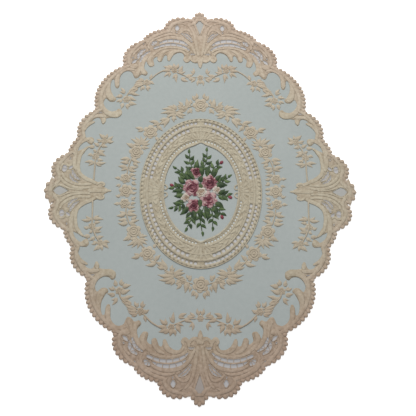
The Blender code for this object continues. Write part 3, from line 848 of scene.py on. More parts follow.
def new_tree(name, sizes):
    """A Geometry Nodes tree with a named input for each size, and its inputs by name."""
    tree = bpy.data.node_groups.new(name, "GeometryNodeTree")
    tree.interface.new_socket("Geometry", in_out="INPUT", socket_type="NodeSocketGeometry")
    for size, kind in sizes.items():
        tree.interface.new_socket(size, in_out="INPUT", socket_type="NodeSocket" + kind)
    tree.interface.new_socket("Geometry", in_out="OUTPUT", socket_type="NodeSocketGeometry")
    nodes = Nodes(tree)
    inlet = nodes.add("NodeGroupInput").output.node
    return nodes, {socket.name: Value(nodes, socket) for socket in inlet.outputs if socket.name}


def end_tree(nodes, geometry, material=None):
    """Ends a tree: instances made real, the thread set where it isn't yet, and smooth faces."""
    real = nodes.add("GeometryNodeRealizeInstances", None, {"Geometry": geometry})
    soft = nodes.add("GeometryNodeSetShadeSmooth", None, {"Geometry": real})
    if material:
        soft = nodes.add("GeometryNodeSetMaterial", None, {"Geometry": soft, "Material": material})
    nodes.add("NodeGroupOutput", None, {"Geometry": soft})


def run_tree(name, source, nodes, sizes):
    """Runs a tree on a guide mesh and gives the plain mesh that it makes."""
    guide = stand(name + " guide", source)
    maker = guide.modifiers.new("maker", "NODES")
    maker.node_group = nodes.tree
    for item in nodes.tree.interface.items_tree:
        if item.in_out == "INPUT" and item.name in sizes:
            maker[item.identifier] = sizes[item.name]
    evaluated = guide.evaluated_get(bpy.context.evaluated_depsgraph_get())
    mesh = bpy.data.meshes.new_from_object(evaluated)
    mesh.name = name
    bpy.data.objects.remove(guide)
    bpy.data.meshes.remove(source)
    return mesh


def spots_mesh(name, spots):
    """Points to set a shape on: each is x, y, height, turn and its three half sizes, in millimetres."""
    mesh = bpy.data.meshes.new(name + " spots")
    mesh.from_pydata([(*(c * MM for c in place(x, y)), z * MM) for x, y, z, *_ in spots], [], [])
    carry(mesh, "turn", [s[3] for s in spots])
    sizes = mesh.attributes.new("size", "FLOAT_VECTOR", "POINT")
    sizes.data.foreach_set("vector", [c * MM for s in spots for c in s[4:7]])
    return mesh


def named(nodes, name, kind="FLOAT"):
    """A number, or three, that the guide mesh carries at each of its points."""
    return nodes.add("GeometryNodeInputNamedAttribute", {"data_type": kind}, {"Name": name})


def plant(nodes, size, shape):
    """Sets a shape on every spot, turned and sized as the spot says, and ends the tree."""
    turned = nodes.add("ShaderNodeCombineXYZ", None, {"Z": named(nodes, "turn")})
    set_out = nodes.add("GeometryNodeInstanceOnPoints", None, {
        "Points": size["Geometry"], "Instance": shape, "Rotation": turned,
        "Scale": named(nodes, "size", "FLOAT_VECTOR")})
    end_tree(nodes, set_out, size["Thread"])


def work_spots(name, spots, nodes, thread):
    """Sets the tree's shape on every spot and gives the plain mesh."""
    return run_tree(name, spots_mesh(name, spots), nodes, {"Fineness": 2, "Thread": thread})


knot_tree, size = new_tree("knots", {"Fineness": "Int", "Thread": "Material"})
knob = knot_tree.add("GeometryNodeMeshIcoSphere", None, {"Radius": 1.0, "Subdivisions": size["Fineness"]})
plant(knot_tree, size, knob)

picot_spots = []
for start, end, bulge, picots in quarter_lobes():
    for index in range(picots):
        point, outward = arc_point(start, end, bulge, (index + 0.5) / picots)
        seat = point - outward * PICOT_IN
        if min(seat) < -ON_AXIS:
            continue
        heading = math.atan2(outward.y, outward.x)
        pitch = math.dist(arc_point(start, end, bulge, index / picots)[0],
                          arc_point(start, end, bulge, (index + 1) / picots)[0])
        half = (PICOT_HALF[0], min(PICOT_HALF[1], pitch * PICOT_SHARE), PICOT_HALF[2])
        # A picot that stands on an axis has no twin across it
        for flip_x, flip_y in FLIPS:
            if (flip_x > 0 or abs(seat.x) >= ON_AXIS) and (flip_y > 0 or abs(seat.y) >= ON_AXIS):
                angle = math.atan2(math.sin(heading) * flip_y, math.cos(heading) * flip_x)
                picot_spots.append((seat.x * flip_x, seat.y * flip_y, PICOT_HEIGHT, angle, *half))
picot_mesh = work_spots("picots", picot_spots, knot_tree, picot_cotton)
# Each loop is painted darker low down, as painted shade below its rounded top
rises = [(v.co.z / MM - PICOT_HEIGHT) / PICOT_HALF[2] for v in picot_mesh.vertices]
carry(picot_mesh, "flank_shade", np.clip(PICOT_SHADE - np.array(rises), 0, 1))
lay("picots", picot_mesh)

# The satin scrolls: strokes of long flat stitches worked over padding threads, each a rounded ridge
# that swells and narrows. They follow the border's curves and stand well above its fill stitches.
SCROLL_HEIGHT = 0.86
# A stroke's section: how domed it is, where its shaded flanks start and how fast they darken
DOME, FLANK_FROM, FLANK_RISE = 0.75, 0.55, 2.2
# A stroke of less than this half width stands higher, by this share of what it is short of it
SLIM, SLIM_LIFT = 1.6, 0.12


def marked(nodes, geometry, name, value):
    """Carries a number on the points, for a finish to read."""
    return nodes.add("GeometryNodeStoreNamedAttribute", {"data_type": "FLOAT", "domain": "POINT"},
                     {"Geometry": geometry, "Name": name, "Value": value})


def hoop(nodes, sides):
    return nodes.add("GeometryNodeCurvePrimitiveCircle", {"mode": "RADIUS"},
                     {"Resolution": sides, "Radius": 1.0})


def upright(nodes, curve):
    """A curve whose sections stand up straight."""
    return nodes.add("GeometryNodeSetCurveNormal", {"mode": "Z_UP"}, {"Curve": curve})


def swept(nodes, curve, section, half):
    """A section drawn along a curve, half as wide as half says, with both ends closed."""
    return nodes.add("GeometryNodeCurveToMesh", None, {
        "Curve": curve, "Profile Curve": section, "Scale": half, "Fill Caps": True})


stroke_tree, size = new_tree("satin strokes", {
    "Crown": "Float", "Foot": "Float", "Cleft": "Float", "Sides": "Int", "Thread": "Material"})
path = stroke_tree.add("GeometryNodeMeshToCurve", None, {"Mesh": size["Geometry"]})
gone = stroke_tree.add("GeometryNodeSplineParameter", output=1)
measured = marked(stroke_tree, upright(stroke_tree, path), "along", gone)
beside, above = stroke_tree.split(stroke_tree.add("GeometryNodeInputPosition"))
# Painted shade: the stroke's sides are marked to be darkened in colour
flank_shade = ((beside.size() - FLANK_FROM) * FLANK_RISE).clamped()
round_section = marked(stroke_tree, hoop(stroke_tree, size["Sides"]), "flank_shade", flank_shade)
domed = above.at_least(0.0) ** DOME
crest = domed * size["Crown"] * (1.0 - size["Cleft"] * (1.0 - beside.size()))
moved = stroke_tree.add("ShaderNodeCombineXYZ", None, {
    "X": beside, "Y": crest + above.at_most(0.0) * size["Foot"]})
section = stroke_tree.add("GeometryNodeSetPosition", None, {"Geometry": round_section, "Position": moved})
stroke = swept(stroke_tree, measured, section, named(stroke_tree, "half width"))
end_tree(stroke_tree, stroke, size["Thread"])


def paths_mesh(name, paths, height, closed=False):
    """A wire for each path of (x, y, half width), at one height, for the strokes to be worked along."""
    points, bonds, halves = [], [], []
    for path in paths:
        first = len(points)
        for x, y, half in path:
            x, y = place(x, y)
            points.append((x * MM, y * MM, (height + SLIM_LIFT * max(0.0, SLIM - half)) * MM))
            halves.append(half * MM)
        bonds += [(first + i, first + i + 1) for i in range(len(path) - 1)]
        if closed:
            bonds.append((len(points) - 1, first))
    mesh = bpy.data.meshes.new(name + " wires")
    mesh.from_pydata(points, bonds, [])
    carry(mesh, "half width", halves)
    return mesh


def work_strokes(name, paths, height, thread, crown, foot=0.10, cleft=0.0, sides=12, closed=False):
    """Works every path as a rounded stroke and lays the piece on the doily. crown and foot are its rise
    and its depth as shares of its half width, and cleft is how far it is parted along the middle."""
    lay(name, run_tree(name, paths_mesh(name, paths, height, closed), stroke_tree, {
        "Crown": crown, "Foot": foot, "Cleft": cleft, "Sides": sides, "Thread": thread}))


work_strokes("satin_scrolls", scroll_paths, SCROLL_HEIGHT, satin_cotton, crown=0.29)

# The edge band: a smooth satin band that follows the scallops just inside the picots.
# It is worked last over the fill stitches, and a narrow groove parts it from the picots.
BAND_IN, BAND_WIDTH, BAND_HEIGHT, BAND_STEP = 6.6, 3.4, 0.92, 0.7
# How many points the band has beside each picot
BAND_POINTS = 3

band_points = []
for start, end, bulge, picots in quarter_lobes():
    count = picots * BAND_POINTS
    for index in range(count + 1):
        point, outward = arc_point(start, end, bulge, index / count)
        band_points.append(tuple(point - outward * BAND_IN))
band_points = in_quarter(band_points)
# Points that fall too close together, where two lobes meet, are left out
band_run = band_points[:1]
for point in band_points[1:]:
    if math.dist(point, band_run[-1]) > BAND_STEP:
        band_run.append(point)
band_path = [(x, y, BAND_WIDTH / 2) for x, y in quarter_ring(band_run)]
work_strokes("edge_band_1", [band_path], BAND_HEIGHT, satin_cotton, crown=0.20, foot=0.2, closed=True)

# The overcast rims: a fine cord sewn round every opening so that its cut edge can't fray.
# Thread bars cross the long openings and hold their two sides together.
RIM_WIDTH, RIM_HEIGHT = 0.72, 0.70
BAR_WIDTH, FINE_BAR, BAR_HEIGHT, BAR_TUCK = 0.62, 0.50, 0.60, 0.5
# Each barred opening, with how far apart its threads are and how much they slant to and fro
BARRED = {"upper crescent": (5.8, 0.0), "lower crescent": (5.8, 0.0), "leaf slot": (3.1, 0.5),
          "inner sickle": (2.5, 0.7), "outer sickle": (2.5, 0.7), "inner gills": (2.3, 0.7),
          "outer gills": (2.3, 0.7), "shoulder eyelet": (1.9, 0.3), "shell": (2.1, 0.3),
          "half moon": (1.6, 0.0)}

rim_paths = [[(x, y, RIM_WIDTH / 2) for x, y in hole] for hole in border_holes + diamonds]
work_strokes("overcast_rims", rim_paths, RIM_HEIGHT, satin_cotton, crown=0.6, foot=0.5, sides=6,
             closed=True)

bar_paths = []
for name, (pitch, slant) in BARRED.items():
    path = smooth_path(OPENINGS[name], 0.4)
    gone = pitch / 2
    for index in range(1, len(path) - 1):
        gone += math.dist(path[index - 1][:2], path[index][:2])
        if gone >= pitch:
            gone = 0.0
            slant = -slant
            x, y, width = path[index]
            run = (Vector(path[index + 1][:2]) - Vector(path[index - 1][:2])).normalized()
            side = (Vector((-run.y, run.x)) + run * slant) * (width * EASED.get(name, 1.0) / 2 + BAR_TUCK)
            half = (FINE_BAR if slant else BAR_WIDTH) / 2
            ends = ((x + side.x, y + side.y, half), (x - side.x, y - side.y, half))
            bar_paths += mirrored(smooth_path(ends, 1.2))
work_strokes("thread_bars", bar_paths, BAR_HEIGHT, satin_cotton, crown=0.8, foot=0.8, sides=6)

# The oval medallion: a band of fill stitches with two ladders of small holes, beaded round its outside.
# Satin ridges run between the ladders, and small raised petals cover the broad inner band.

# Its outer rim and the oval left open in it, whose two ends rise in a small ogee; how far apart a rim's
# points are, and the finer points that they are picked from
MEDALLION, OVAL, OVAL_STEP, OVAL_POINTS = (57.6, 75.6), (35.9, 48.3), 1.5, 1600
OGEE_RISE, OGEE_WIDTH = 2.4, 4.5
MEDALLION_HEIGHT, MEDALLION_RISE, MEDALLION_GRAIN, MEDALLION_SPACING = 0.95, 0.36, 0.10, 1.2
# Half axes of each ridge's oval, with its width
RIDGES = ((51.6, 68.6, 2.6), (47.0, 63.0, 1.4), (41.1, 55.0, 1.3), (58.2, 76.2, 1.0))
RIM_RIDGE, RIM_RIDGE_OUT, RIDGE_STEP = 1.9, 0.5, 1.2
LADDER_SHADE, PALMETTE_LIFT = 0.5, 0.04
# Windows: how far apart, how far each stands from the two axes, and its size
WINDOW_PITCH, WINDOW_CLEAR, WINDOW_SIZE = 3.1, (3.0, 9.0), (1.7, 1.5)
PALMETTES = (
    ((0.0, 52.8, 1.6), (0.0, 60.0, 2.8), (0.0, 69.0, 1.6)),
    ((1.4, 54.0, 1.2), (3.6, 61.0, 2.4), (6.2, 67.6, 1.6)),
    ((2.4, 54.0, 1.0), (6.8, 59.6, 2.4), (11.4, 65.2, 1.4)),
    ((3.2, 53.6, 1.0), (9.0, 57.2, 2.4), (14.8, 59.8, 1.4)),
    ((37.4, 0.0, 1.6), (44.0, 0.0, 2.6), (51.6, 0.0, 1.6)),
    ((38.2, 1.4, 1.2), (44.4, 3.4, 2.2), (50.4, 6.2, 1.4)),
    ((38.4, 2.4, 1.0), (43.0, 6.8, 2.2), (47.2, 11.4, 1.4)),
    ((38.2, 3.4, 1.0), (40.8, 8.4, 2.0), (43.4, 13.6, 1.2)),
    ((36.4, 7.0, 1.0), (33.6, 6.0, 1.3), (32.2, 3.8, 1.4), (33.4, 1.8, 1.2), (35.6, 2.0, 1.0)),
)
# Beads and petals: half axes of the oval, how far apart, and how far each petal leans from the run;
# then the petals' half sizes and how far they stay from the axes, where the palmettes are
BEAD_RING, BEAD_HEIGHT, BEAD_HALF = (56.4, 74.4, 4.3), 0.86, (1.85, 1.6, 0.50)
PETAL_RINGS = ((45.0, 60.2, 7.8, 0.42), (42.9, 57.4, 7.6, -0.42))
PETAL_HALF, PALMETTE_CLEAR = (3.1, 1.15, 0.36), (10.0, 8.0)


def even_oval(half_x, half_y, step, rise=0.0):
    """The oval again, its points spaced evenly, with the angle of the run at each."""
    fine = [(half_x * math.cos(a), half_y * math.sin(a))
            for a in np.linspace(math.pi / 2, math.pi / 2 - 2 * math.pi, OVAL_POINTS + 1)]
    runs = np.concatenate([[0.0], np.cumsum([math.dist(a, b) for a, b in zip(fine, fine[1:])])])
    # The same number in each quarter
    count = 4 * round(runs[-1] / step / 4)
    places = []
    for index in range(count):
        at = int(np.searchsorted(runs, runs[-1] * (index + 0.5) / count))
        x, y = fine[at]
        before, after = fine[at - 1], fine[(at + 1) % OVAL_POINTS]
        peak = rise * math.exp(-(x / OGEE_WIDTH) ** 2)
        heading = math.atan2(after[1] - before[1], after[0] - before[0])
        places.append((x, y + math.copysign(peak, y), heading))
    return places


def medallion_face(x, y, gap):
    """The medallion's upper side: padded at its rims and grained with stitches."""
    return FILL_EDGE + MEDALLION_RISE * padded(gap) + MEDALLION_GRAIN * lump(x, y, 1.6, 5.0) * min(gap, 1.0)


oval_rim = [(x, y) for x, y, _ in even_oval(*OVAL, OVAL_STEP, OGEE_RISE)]
medallion_rim = [(x, y) for x, y, _ in even_oval(*MEDALLION, OVAL_STEP)]
medallion_outlines = [medallion_rim, oval_rim] + [hole for hole in HOLES if in_medallion(hole)]
for x, y, _ in even_oval(*WINDOW_OVAL, WINDOW_PITCH):
    if abs(y) > WINDOW_CLEAR[1] and abs(x) > WINDOW_CLEAR[0]:
        angle = math.atan2(y / WINDOW_OVAL[1], x / WINDOW_OVAL[0])
        medallion_outlines.append(ladder_outline(*WINDOW_OVAL, angle, *WINDOW_SIZE))
medallion_mesh = sheet_mesh("medallion_stitching", medallion_outlines, MEDALLION_SPACING, FILL_BACK,
                            medallion_face)
shade_rims(medallion_mesh, LADDER_SHADE)
medallion_cotton = cotton("medallion stitches", (185, 177, 156), (185, 177, 156),
                          stitch_depth=0.22, rim_shade=0.18, fleck=2.2)
medallion_satin = cotton("medallion satin", (191, 183, 162), (191, 183, 162),
                         stitch_depth=0.12, rim_shade=0.10, fleck=1.6)
lay("medallion_stitching", medallion_mesh, medallion_cotton)

ridge_paths = [[(x, y, width / 2) for x, y, _ in even_oval(half_x, half_y, RIDGE_STEP)]
               for half_x, half_y, width in RIDGES]
rim_oval = even_oval(OVAL[0] + RIM_RIDGE_OUT, OVAL[1] + RIM_RIDGE_OUT, RIDGE_STEP, OGEE_RISE)
ridge_paths.append([(x, y, RIM_RIDGE / 2) for x, y, _ in rim_oval])
work_strokes("medallion_ridges", ridge_paths, MEDALLION_HEIGHT, medallion_satin, crown=0.6, foot=0.3,
             sides=8, closed=True)
work_strokes("medallion_palmettes", quartered(PALMETTES, 0.7), MEDALLION_HEIGHT + PALMETTE_LIFT,
             medallion_satin, crown=0.42)

bead_spots = [(x, y, BEAD_HEIGHT, heading, *BEAD_HALF) for x, y, heading in even_oval(*BEAD_RING)]
for half_x, half_y, pitch, lean in PETAL_RINGS:
    for x, y, heading in even_oval(half_x, half_y, pitch):
        # No petal lies under a palmette
        if abs(x) >= PALMETTE_CLEAR[0] and abs(y) >= PALMETTE_CLEAR[1]:
            bead_spots.append((x, y, MEDALLION_HEIGHT, heading + lean, *PETAL_HALF))
lay("medallion_beads", work_spots("medallion_beads", bead_spots, knot_tree, medallion_satin))

# The sprays: garlands of roses and leaves in cream cotton, scattered over the plain cloth between
# the medallion and the border. Leaves are satin stitch parted along the middle, roses are rings of petals.
SPRAY_HEIGHT = 0.52
spray_cotton = cotton("spray stitches", (192, 173, 156), (193, 183, 163),
                      stitch_depth=0.12, rim_shade=0.10, fleck=0.7)
# Leaves are plumper than their rows say, with the belly nearer the root, fine tapers and slim ends;
# each has a smaller one beside it: its length, turn and width
LEAF_PLUMP, LEAF_BELLY, LEAF_TAPER, LEAF_END = 1.12, 0.75, 1.15, 0.06
SECOND_LENGTH, SECOND_TURN, SECOND_WIDTH = 0.70, 0.60, 0.85
# Each rose's middle and radius, each leaf's root, tip and width, and each stem's stations with their widths
ROSES = (
    (0.0, 91.5, 8.3), (0.0, 122.6, 3.6), (71.8, 0.0, 7.2),
    (49.5, 62.0, 7.8), (63.0, 40.6, 7.6), (72.6, 12.8, 5.6), (16.2, 88.0, 3.6), (26.2, 130.6, 3.6),
    (54.0, 116.4, 4.2), (74.2, 97.4, 4.2), (94.0, 51.8, 3.6), (102.4, 35.6, 4.0),
)
LEAVES = (
    (13.9, 89.0, 14.3, 99.4, 4.0), (18.0, 90.0, 22.2, 95.8, 3.2), (9.6, 88.4, 8.6, 82.4, 2.6),
    (10.6, 86.2, 13.0, 81.8, 2.6), (6.6, 96.8, 8.4, 102.4, 2.8), (3.6, 98.6, 4.4, 105.2, 2.8),
    (10.4, 93.0, 10.2, 98.6, 2.4), (18.8, 87.6, 23.6, 90.6, 2.8),
    (24.0, 86.4, 33.2, 90.4, 3.8), (24.6, 84.8, 38.8, 87.2, 3.8), (24.6, 82.8, 40.0, 82.2, 3.8),
    (24.0, 80.8, 34.0, 78.6, 3.2), (24.5, 83.6, 14.4, 80.6, 4.0), (23.0, 80.6, 16.0, 77.6, 3.0),
    (22.5, 85.6, 15.4, 84.4, 3.0), (26.6, 79.4, 26.2, 72.6, 3.2), (30.6, 76.8, 36.4, 66.6, 3.8),
    (33.5, 75.8, 40.6, 74.6, 3.4), (34.6, 72.0, 40.4, 70.0, 3.0), (41.0, 70.8, 51.2, 73.4, 3.8),
    (41.6, 69.2, 37.2, 63.0, 3.0), (56.4, 63.6, 64.6, 66.4, 3.8), (43.0, 56.8, 41.4, 51.6, 2.6),
    (58.0, 47.6, 59.2, 57.6, 3.0), (58.8, 47.6, 64.6, 56.6, 3.2), (59.4, 47.4, 68.8, 54.6, 3.4),
    (58.6, 49.6, 50.0, 53.4, 3.0), (58.0, 48.4, 49.6, 49.4, 3.0), (57.6, 46.6, 50.0, 44.8, 2.8),
    (57.8, 50.4, 54.0, 56.4, 2.4), (66.6, 44.8, 73.0, 49.6, 3.6), (67.6, 33.4, 58.2, 29.2, 3.4),
    (64.6, 29.6, 60.4, 25.4, 3.0), (68.8, 32.8, 78.4, 32.4, 3.6), (70.4, 28.0, 78.2, 29.4, 3.4),
    (70.8, 22.8, 80.0, 25.4, 3.8), (69.6, 24.4, 60.6, 24.6, 3.2), (69.8, 21.6, 62.0, 20.4, 2.8),
    (69.0, 18.0, 62.4, 16.4, 2.6), (67.0, 12.8, 61.8, 12.4, 2.6), (78.0, 12.0, 83.0, 13.4, 2.6),
    (66.6, 8.8, 61.8, 6.4, 2.8), (65.6, 3.6, 61.4, 1.6, 2.6), (76.8, 6.0, 81.6, 4.6, 2.4),
    (30.2, 130.0, 39.8, 129.4, 3.4), (29.8, 128.4, 36.8, 123.2, 3.2), (29.6, 132.0, 37.6, 135.0, 3.2),
    (24.4, 132.4, 22.2, 138.6, 3.2), (26.8, 132.6, 27.2, 138.8, 3.4), (28.6, 132.0, 31.6, 137.0, 3.0),
    (22.4, 129.6, 17.8, 136.2, 3.2), (22.0, 127.8, 15.0, 129.4, 3.0), (23.8, 126.8, 24.2, 116.8, 3.0),
    (19.8, 122.0, 12.4, 118.2, 3.4), (15.0, 124.6, 6.6, 126.6, 3.0), (7.0, 126.4, 7.2, 133.8, 2.6),
    (11.6, 123.0, 4.4, 120.8, 3.0), (1.6, 119.8, 3.0, 113.4, 2.6), (5.0, 120.8, 9.4, 116.8, 2.6),
    (53.0, 113.0, 52.2, 106.6, 3.2), (57.0, 118.6, 65.4, 117.2, 3.0), (57.6, 116.4, 67.0, 113.8, 3.0),
    (58.0, 114.2, 69.0, 110.2, 3.4), (62.6, 109.6, 71.8, 107.4, 3.0), (50.6, 118.6, 46.4, 114.8, 2.8),
    (57.0, 112.6, 60.0, 107.0, 2.8), (51.4, 121.0, 49.0, 126.2, 2.6),
    (71.0, 106.2, 61.0, 102.2, 3.4), (71.6, 100.8, 64.2, 96.4, 3.4), (75.8, 103.8, 80.2, 110.6, 3.0),
    (78.0, 100.4, 85.2, 99.8, 3.0), (78.2, 96.4, 84.2, 94.4, 2.8), (71.0, 94.8, 63.8, 92.0, 3.6),
    (72.8, 92.6, 72.2, 86.2, 3.2), (76.4, 92.6, 78.8, 86.8, 3.0), (72.0, 103.2, 66.8, 108.2, 2.8),
    (101.6, 28.9, 91.8, 29.0, 3.4), (103.0, 28.9, 112.8, 29.4, 3.4), (100.0, 33.0, 94.6, 31.4, 2.6),
    (99.8, 41.6, 92.4, 36.0, 3.8), (104.0, 44.4, 110.6, 45.4, 3.4), (105.6, 38.0, 110.0, 36.0, 2.8),
    (99.4, 37.6, 95.4, 39.4, 2.4), (101.6, 40.4, 105.2, 42.2, 2.6), (100.0, 45.6, 104.6, 50.0, 2.8),
    (91.6, 51.2, 85.0, 51.4, 3.2), (91.8, 53.2, 85.8, 57.2, 3.0), (93.4, 54.2, 91.8, 59.6, 2.8),
    (95.6, 54.0, 99.8, 59.6, 3.0), (97.0, 51.0, 102.0, 53.4, 2.8), (96.6, 48.2, 91.0, 45.4, 3.0),
)
STEMS = (
    ((30.0, 133.0, 1.2), (38.0, 130.0, 1.4), (45.0, 125.5, 1.5), (51.4, 119.0, 1.3)),
    ((3.6, 122.8, 1.0), (12.0, 123.6, 1.2), (24.0, 128.6, 1.2)),
    ((103.0, 10.0, 1.8), (102.6, 20.0, 1.6), (102.2, 34.0, 1.6), (99.5, 43.0, 1.6), (95.5, 50.0, 1.4)),
    ((57.0, 114.4, 1.3), (67.0, 109.0, 1.5), (72.5, 104.0, 1.6), (74.5, 98.0, 1.5)),
    ((71.2, 17.4, 1.3), (70.4, 24.0, 1.4), (67.0, 34.0, 1.3)),
    ((60.5, 46.4, 1.3), (56.0, 52.0, 1.3), (52.6, 57.0, 1.3)),
    ((44.0, 67.0, 1.2), (37.5, 74.0, 1.4), (26.0, 82.4, 1.3)),
    ((24.5, 84.0, 1.2), (18.6, 86.8, 1.2), (12.0, 89.4, 1.2), (7.0, 91.0, 1.0)),
)


def bowed(root_x, root_y, tip_x, tip_y, width, bow=0.08):
    """The middle line of a leaf or a stem, bent a little to one side."""
    root, end = Vector((root_x, root_y)), Vector((tip_x, tip_y))
    run = end - root
    middle = root + run * 0.5 + Vector((-run.y, run.x)) * bow
    return smooth_path(((*root, width), (*middle, width), (*end, width)), 0.8)


def pointed(path):
    """Half widths for a leaf: from nearly nothing at its root, through its belly, to its tip."""
    last = len(path) - 1
    leaf = []
    for index, (x, y, width) in enumerate(path):
        swell = math.sin(math.pi * (index / last) ** LEAF_BELLY) ** LEAF_TAPER
        half = width / 2 * (LEAF_END + (1 - LEAF_END) * swell)
        leaf.append((x, y, half * (1 + RIBS * (-1) ** index)))
    return leaf


def ring_of(nodes, petal, petals, turn_by, lift, flatten):
    """A petal set round the middle, lifted and pressed down."""
    seats = nodes.add("GeometryNodePoints", None, {"Count": petals})
    facing = nodes.add("ShaderNodeCombineXYZ", None, {
        "Z": nodes.add("GeometryNodeInputIndex") * (2 * math.pi / petals) + turn_by})
    ring = nodes.add("GeometryNodeInstanceOnPoints", None, {
        "Points": seats, "Instance": petal, "Rotation": facing})
    return nodes.add("GeometryNodeTransform", None, {
        "Geometry": ring, "Translation": (0.0, 0.0, lift), "Scale": (1.0, 1.0, flatten)})


# Six broad outer petals, the mound that they lie on and the heart: number, reach, half sizes, lift
FLAT_PETALS = ((6, 0.64, (0.34, 0.37, 0.10), 0.0), (1, 0.0, (0.50, 0.50, 0.14), 0.0),
               (1, 0.0, (0.13, 0.13, 0.12), 0.15))
# Two rings of curled petals: number, reach, half width, how far round each runs, lift
CURLED_PETALS = ((5, 0.60, 0.105, 1.40, 0.10), (4, 0.34, 0.10, 1.75, 0.15))
CURL_TURN, CURL_PRESSED, CURL_ENDS, ROUNDNESS = 7.0, 0.62, 0.45, 8
# How far each rose is turned from the last, and its height as a share of a radius up to the most
ROSE_TURN, ROSE_RISE, ROSE_MOST = 0.37, 0.72, 5.0
rose_tree, size = new_tree("roses", {"Fineness": "Int", "Thread": "Material"})
rose_rings = []
knob = rose_tree.add("GeometryNodeMeshIcoSphere", None, {"Radius": 1.0, "Subdivisions": size["Fineness"]})
for petals, away, half, lift in FLAT_PETALS:
    petal = rose_tree.add("GeometryNodeTransform", None, {
        "Geometry": knob, "Translation": (away, 0.0, 0.0), "Scale": half})
    rose_rings.append(ring_of(rose_tree, petal, petals, 0.0, lift, 1.0))
for petals, away, half, sweep, lift in CURLED_PETALS:
    arc = rose_tree.add("GeometryNodeCurveArc", {"mode": "RADIUS"}, {
        "Resolution": ROUNDNESS, "Radius": away, "Start Angle": 0.0, "Sweep Angle": sweep})
    share = rose_tree.add("GeometryNodeSplineParameter")
    swell = (CURL_ENDS + (1 - CURL_ENDS) * (share * math.pi).wave()) * half
    petal = swept(rose_tree, upright(rose_tree, arc), hoop(rose_tree, ROUNDNESS), swell)
    rose_rings.append(ring_of(rose_tree, petal, petals, away * CURL_TURN, lift, CURL_PRESSED))
whole = rose_tree.add("GeometryNodeJoinGeometry")
for ring in rose_rings:
    rose_tree.feed(whole.output.node, "Geometry", ring)
apart = rose_tree.add("ShaderNodeVectorMath", {"operation": "LENGTH"}, {
    0: rose_tree.add("GeometryNodeInputPosition")}, 1)
real = rose_tree.add("GeometryNodeRealizeInstances", None, {"Geometry": whole})
plant(rose_tree, size, marked(rose_tree, real, "apart", apart))


def rose_spots(rows, height):
    """Spots for roses of these middles and radii, each turned a little further than the one before."""
    return [(x, y, height, ROSE_TURN * index, radius, radius, min(radius, ROSE_MOST) * ROSE_RISE)
            for index, (x, y, radius) in enumerate(rows)]


rose_rows = [quarter[0] for rose in ROSES for quarter in mirrored((rose,))]
lay("spray_roses", work_spots("spray_roses", rose_spots(rose_rows, SPRAY_HEIGHT), rose_tree, spray_cotton))
leaf_paths = []
for index, (root_x, root_y, tip_x, tip_y, width) in enumerate(LEAVES):
    leaf_paths += mirrored(pointed(bowed(root_x, root_y, tip_x, tip_y, width * LEAF_PLUMP)))
    # The smaller leaf grows from the same place, to one side and the other by turns
    run = (Vector((tip_x, tip_y)) - Vector((root_x, root_y))) * SECOND_LENGTH
    run.rotate(Matrix.Rotation(SECOND_TURN * (-1) ** index, 2))
    second = (root_x, root_y, root_x + run.x, root_y + run.y, width * SECOND_WIDTH)
    leaf_paths += mirrored(pointed(bowed(*second)))
work_strokes("spray_leaves", leaf_paths, SPRAY_HEIGHT, spray_cotton, crown=0.25, foot=0.45, cleft=0.45)
work_strokes("spray_stems", quartered(STEMS, 1.0, 0.02), SPRAY_HEIGHT, spray_cotton, crown=0.8, foot=0.9,
             sides=8)

# The posy: a loose bunch of garden flowers in the oval, in stranded silks of rose, cream and green.
# Small leaves stand in pairs along thin stems, and the blooms are rings of padded petals.

# Each bloom's middle and radius; each sprig's root, tip and bow; each big leaf's root, tip and width
BLOOMS = (
    (-8.6, 3.4, 9.6), (8.2, 8.8, 8.6), (7.2, -8.2, 9.2), (-7.0, -14.6, 7.4), (-4.4, 19.4, 6.6),
)
CREAM_BLOOMS = ((0.4, -1.4, 5.8), (-15.2, -6.6, 4.6), (14.8, 1.2, 4.2))
SPRIGS = (
    (-5.0, 20.0, -11.0, 39.0, 0.12), (0.0, 20.0, 6.0, 41.0, -0.10), (9.0, 14.0, 20.0, 30.0, 0.14),
    (14.0, 8.0, 26.0, 14.0, -0.10), (-13.0, 9.0, -23.0, 23.0, -0.14), (-15.0, 2.0, -28.0, 6.0, 0.10),
    (-9.0, -19.0, -13.0, -36.0, 0.10), (3.0, -15.0, 1.0, -40.0, -0.10), (10.0, -13.0, 20.0, -26.0, 0.12),
    (8.0, -14.0, 11.0, -35.0, 0.08), (-15.0, -10.0, -26.0, -16.0, 0.10), (15.0, -4.0, 28.0, -6.0, 0.10),
)
SPRIG_WIDTH, SPRIG_HEIGHT, SPRIG_PAIRS = 0.9, 0.58, 3
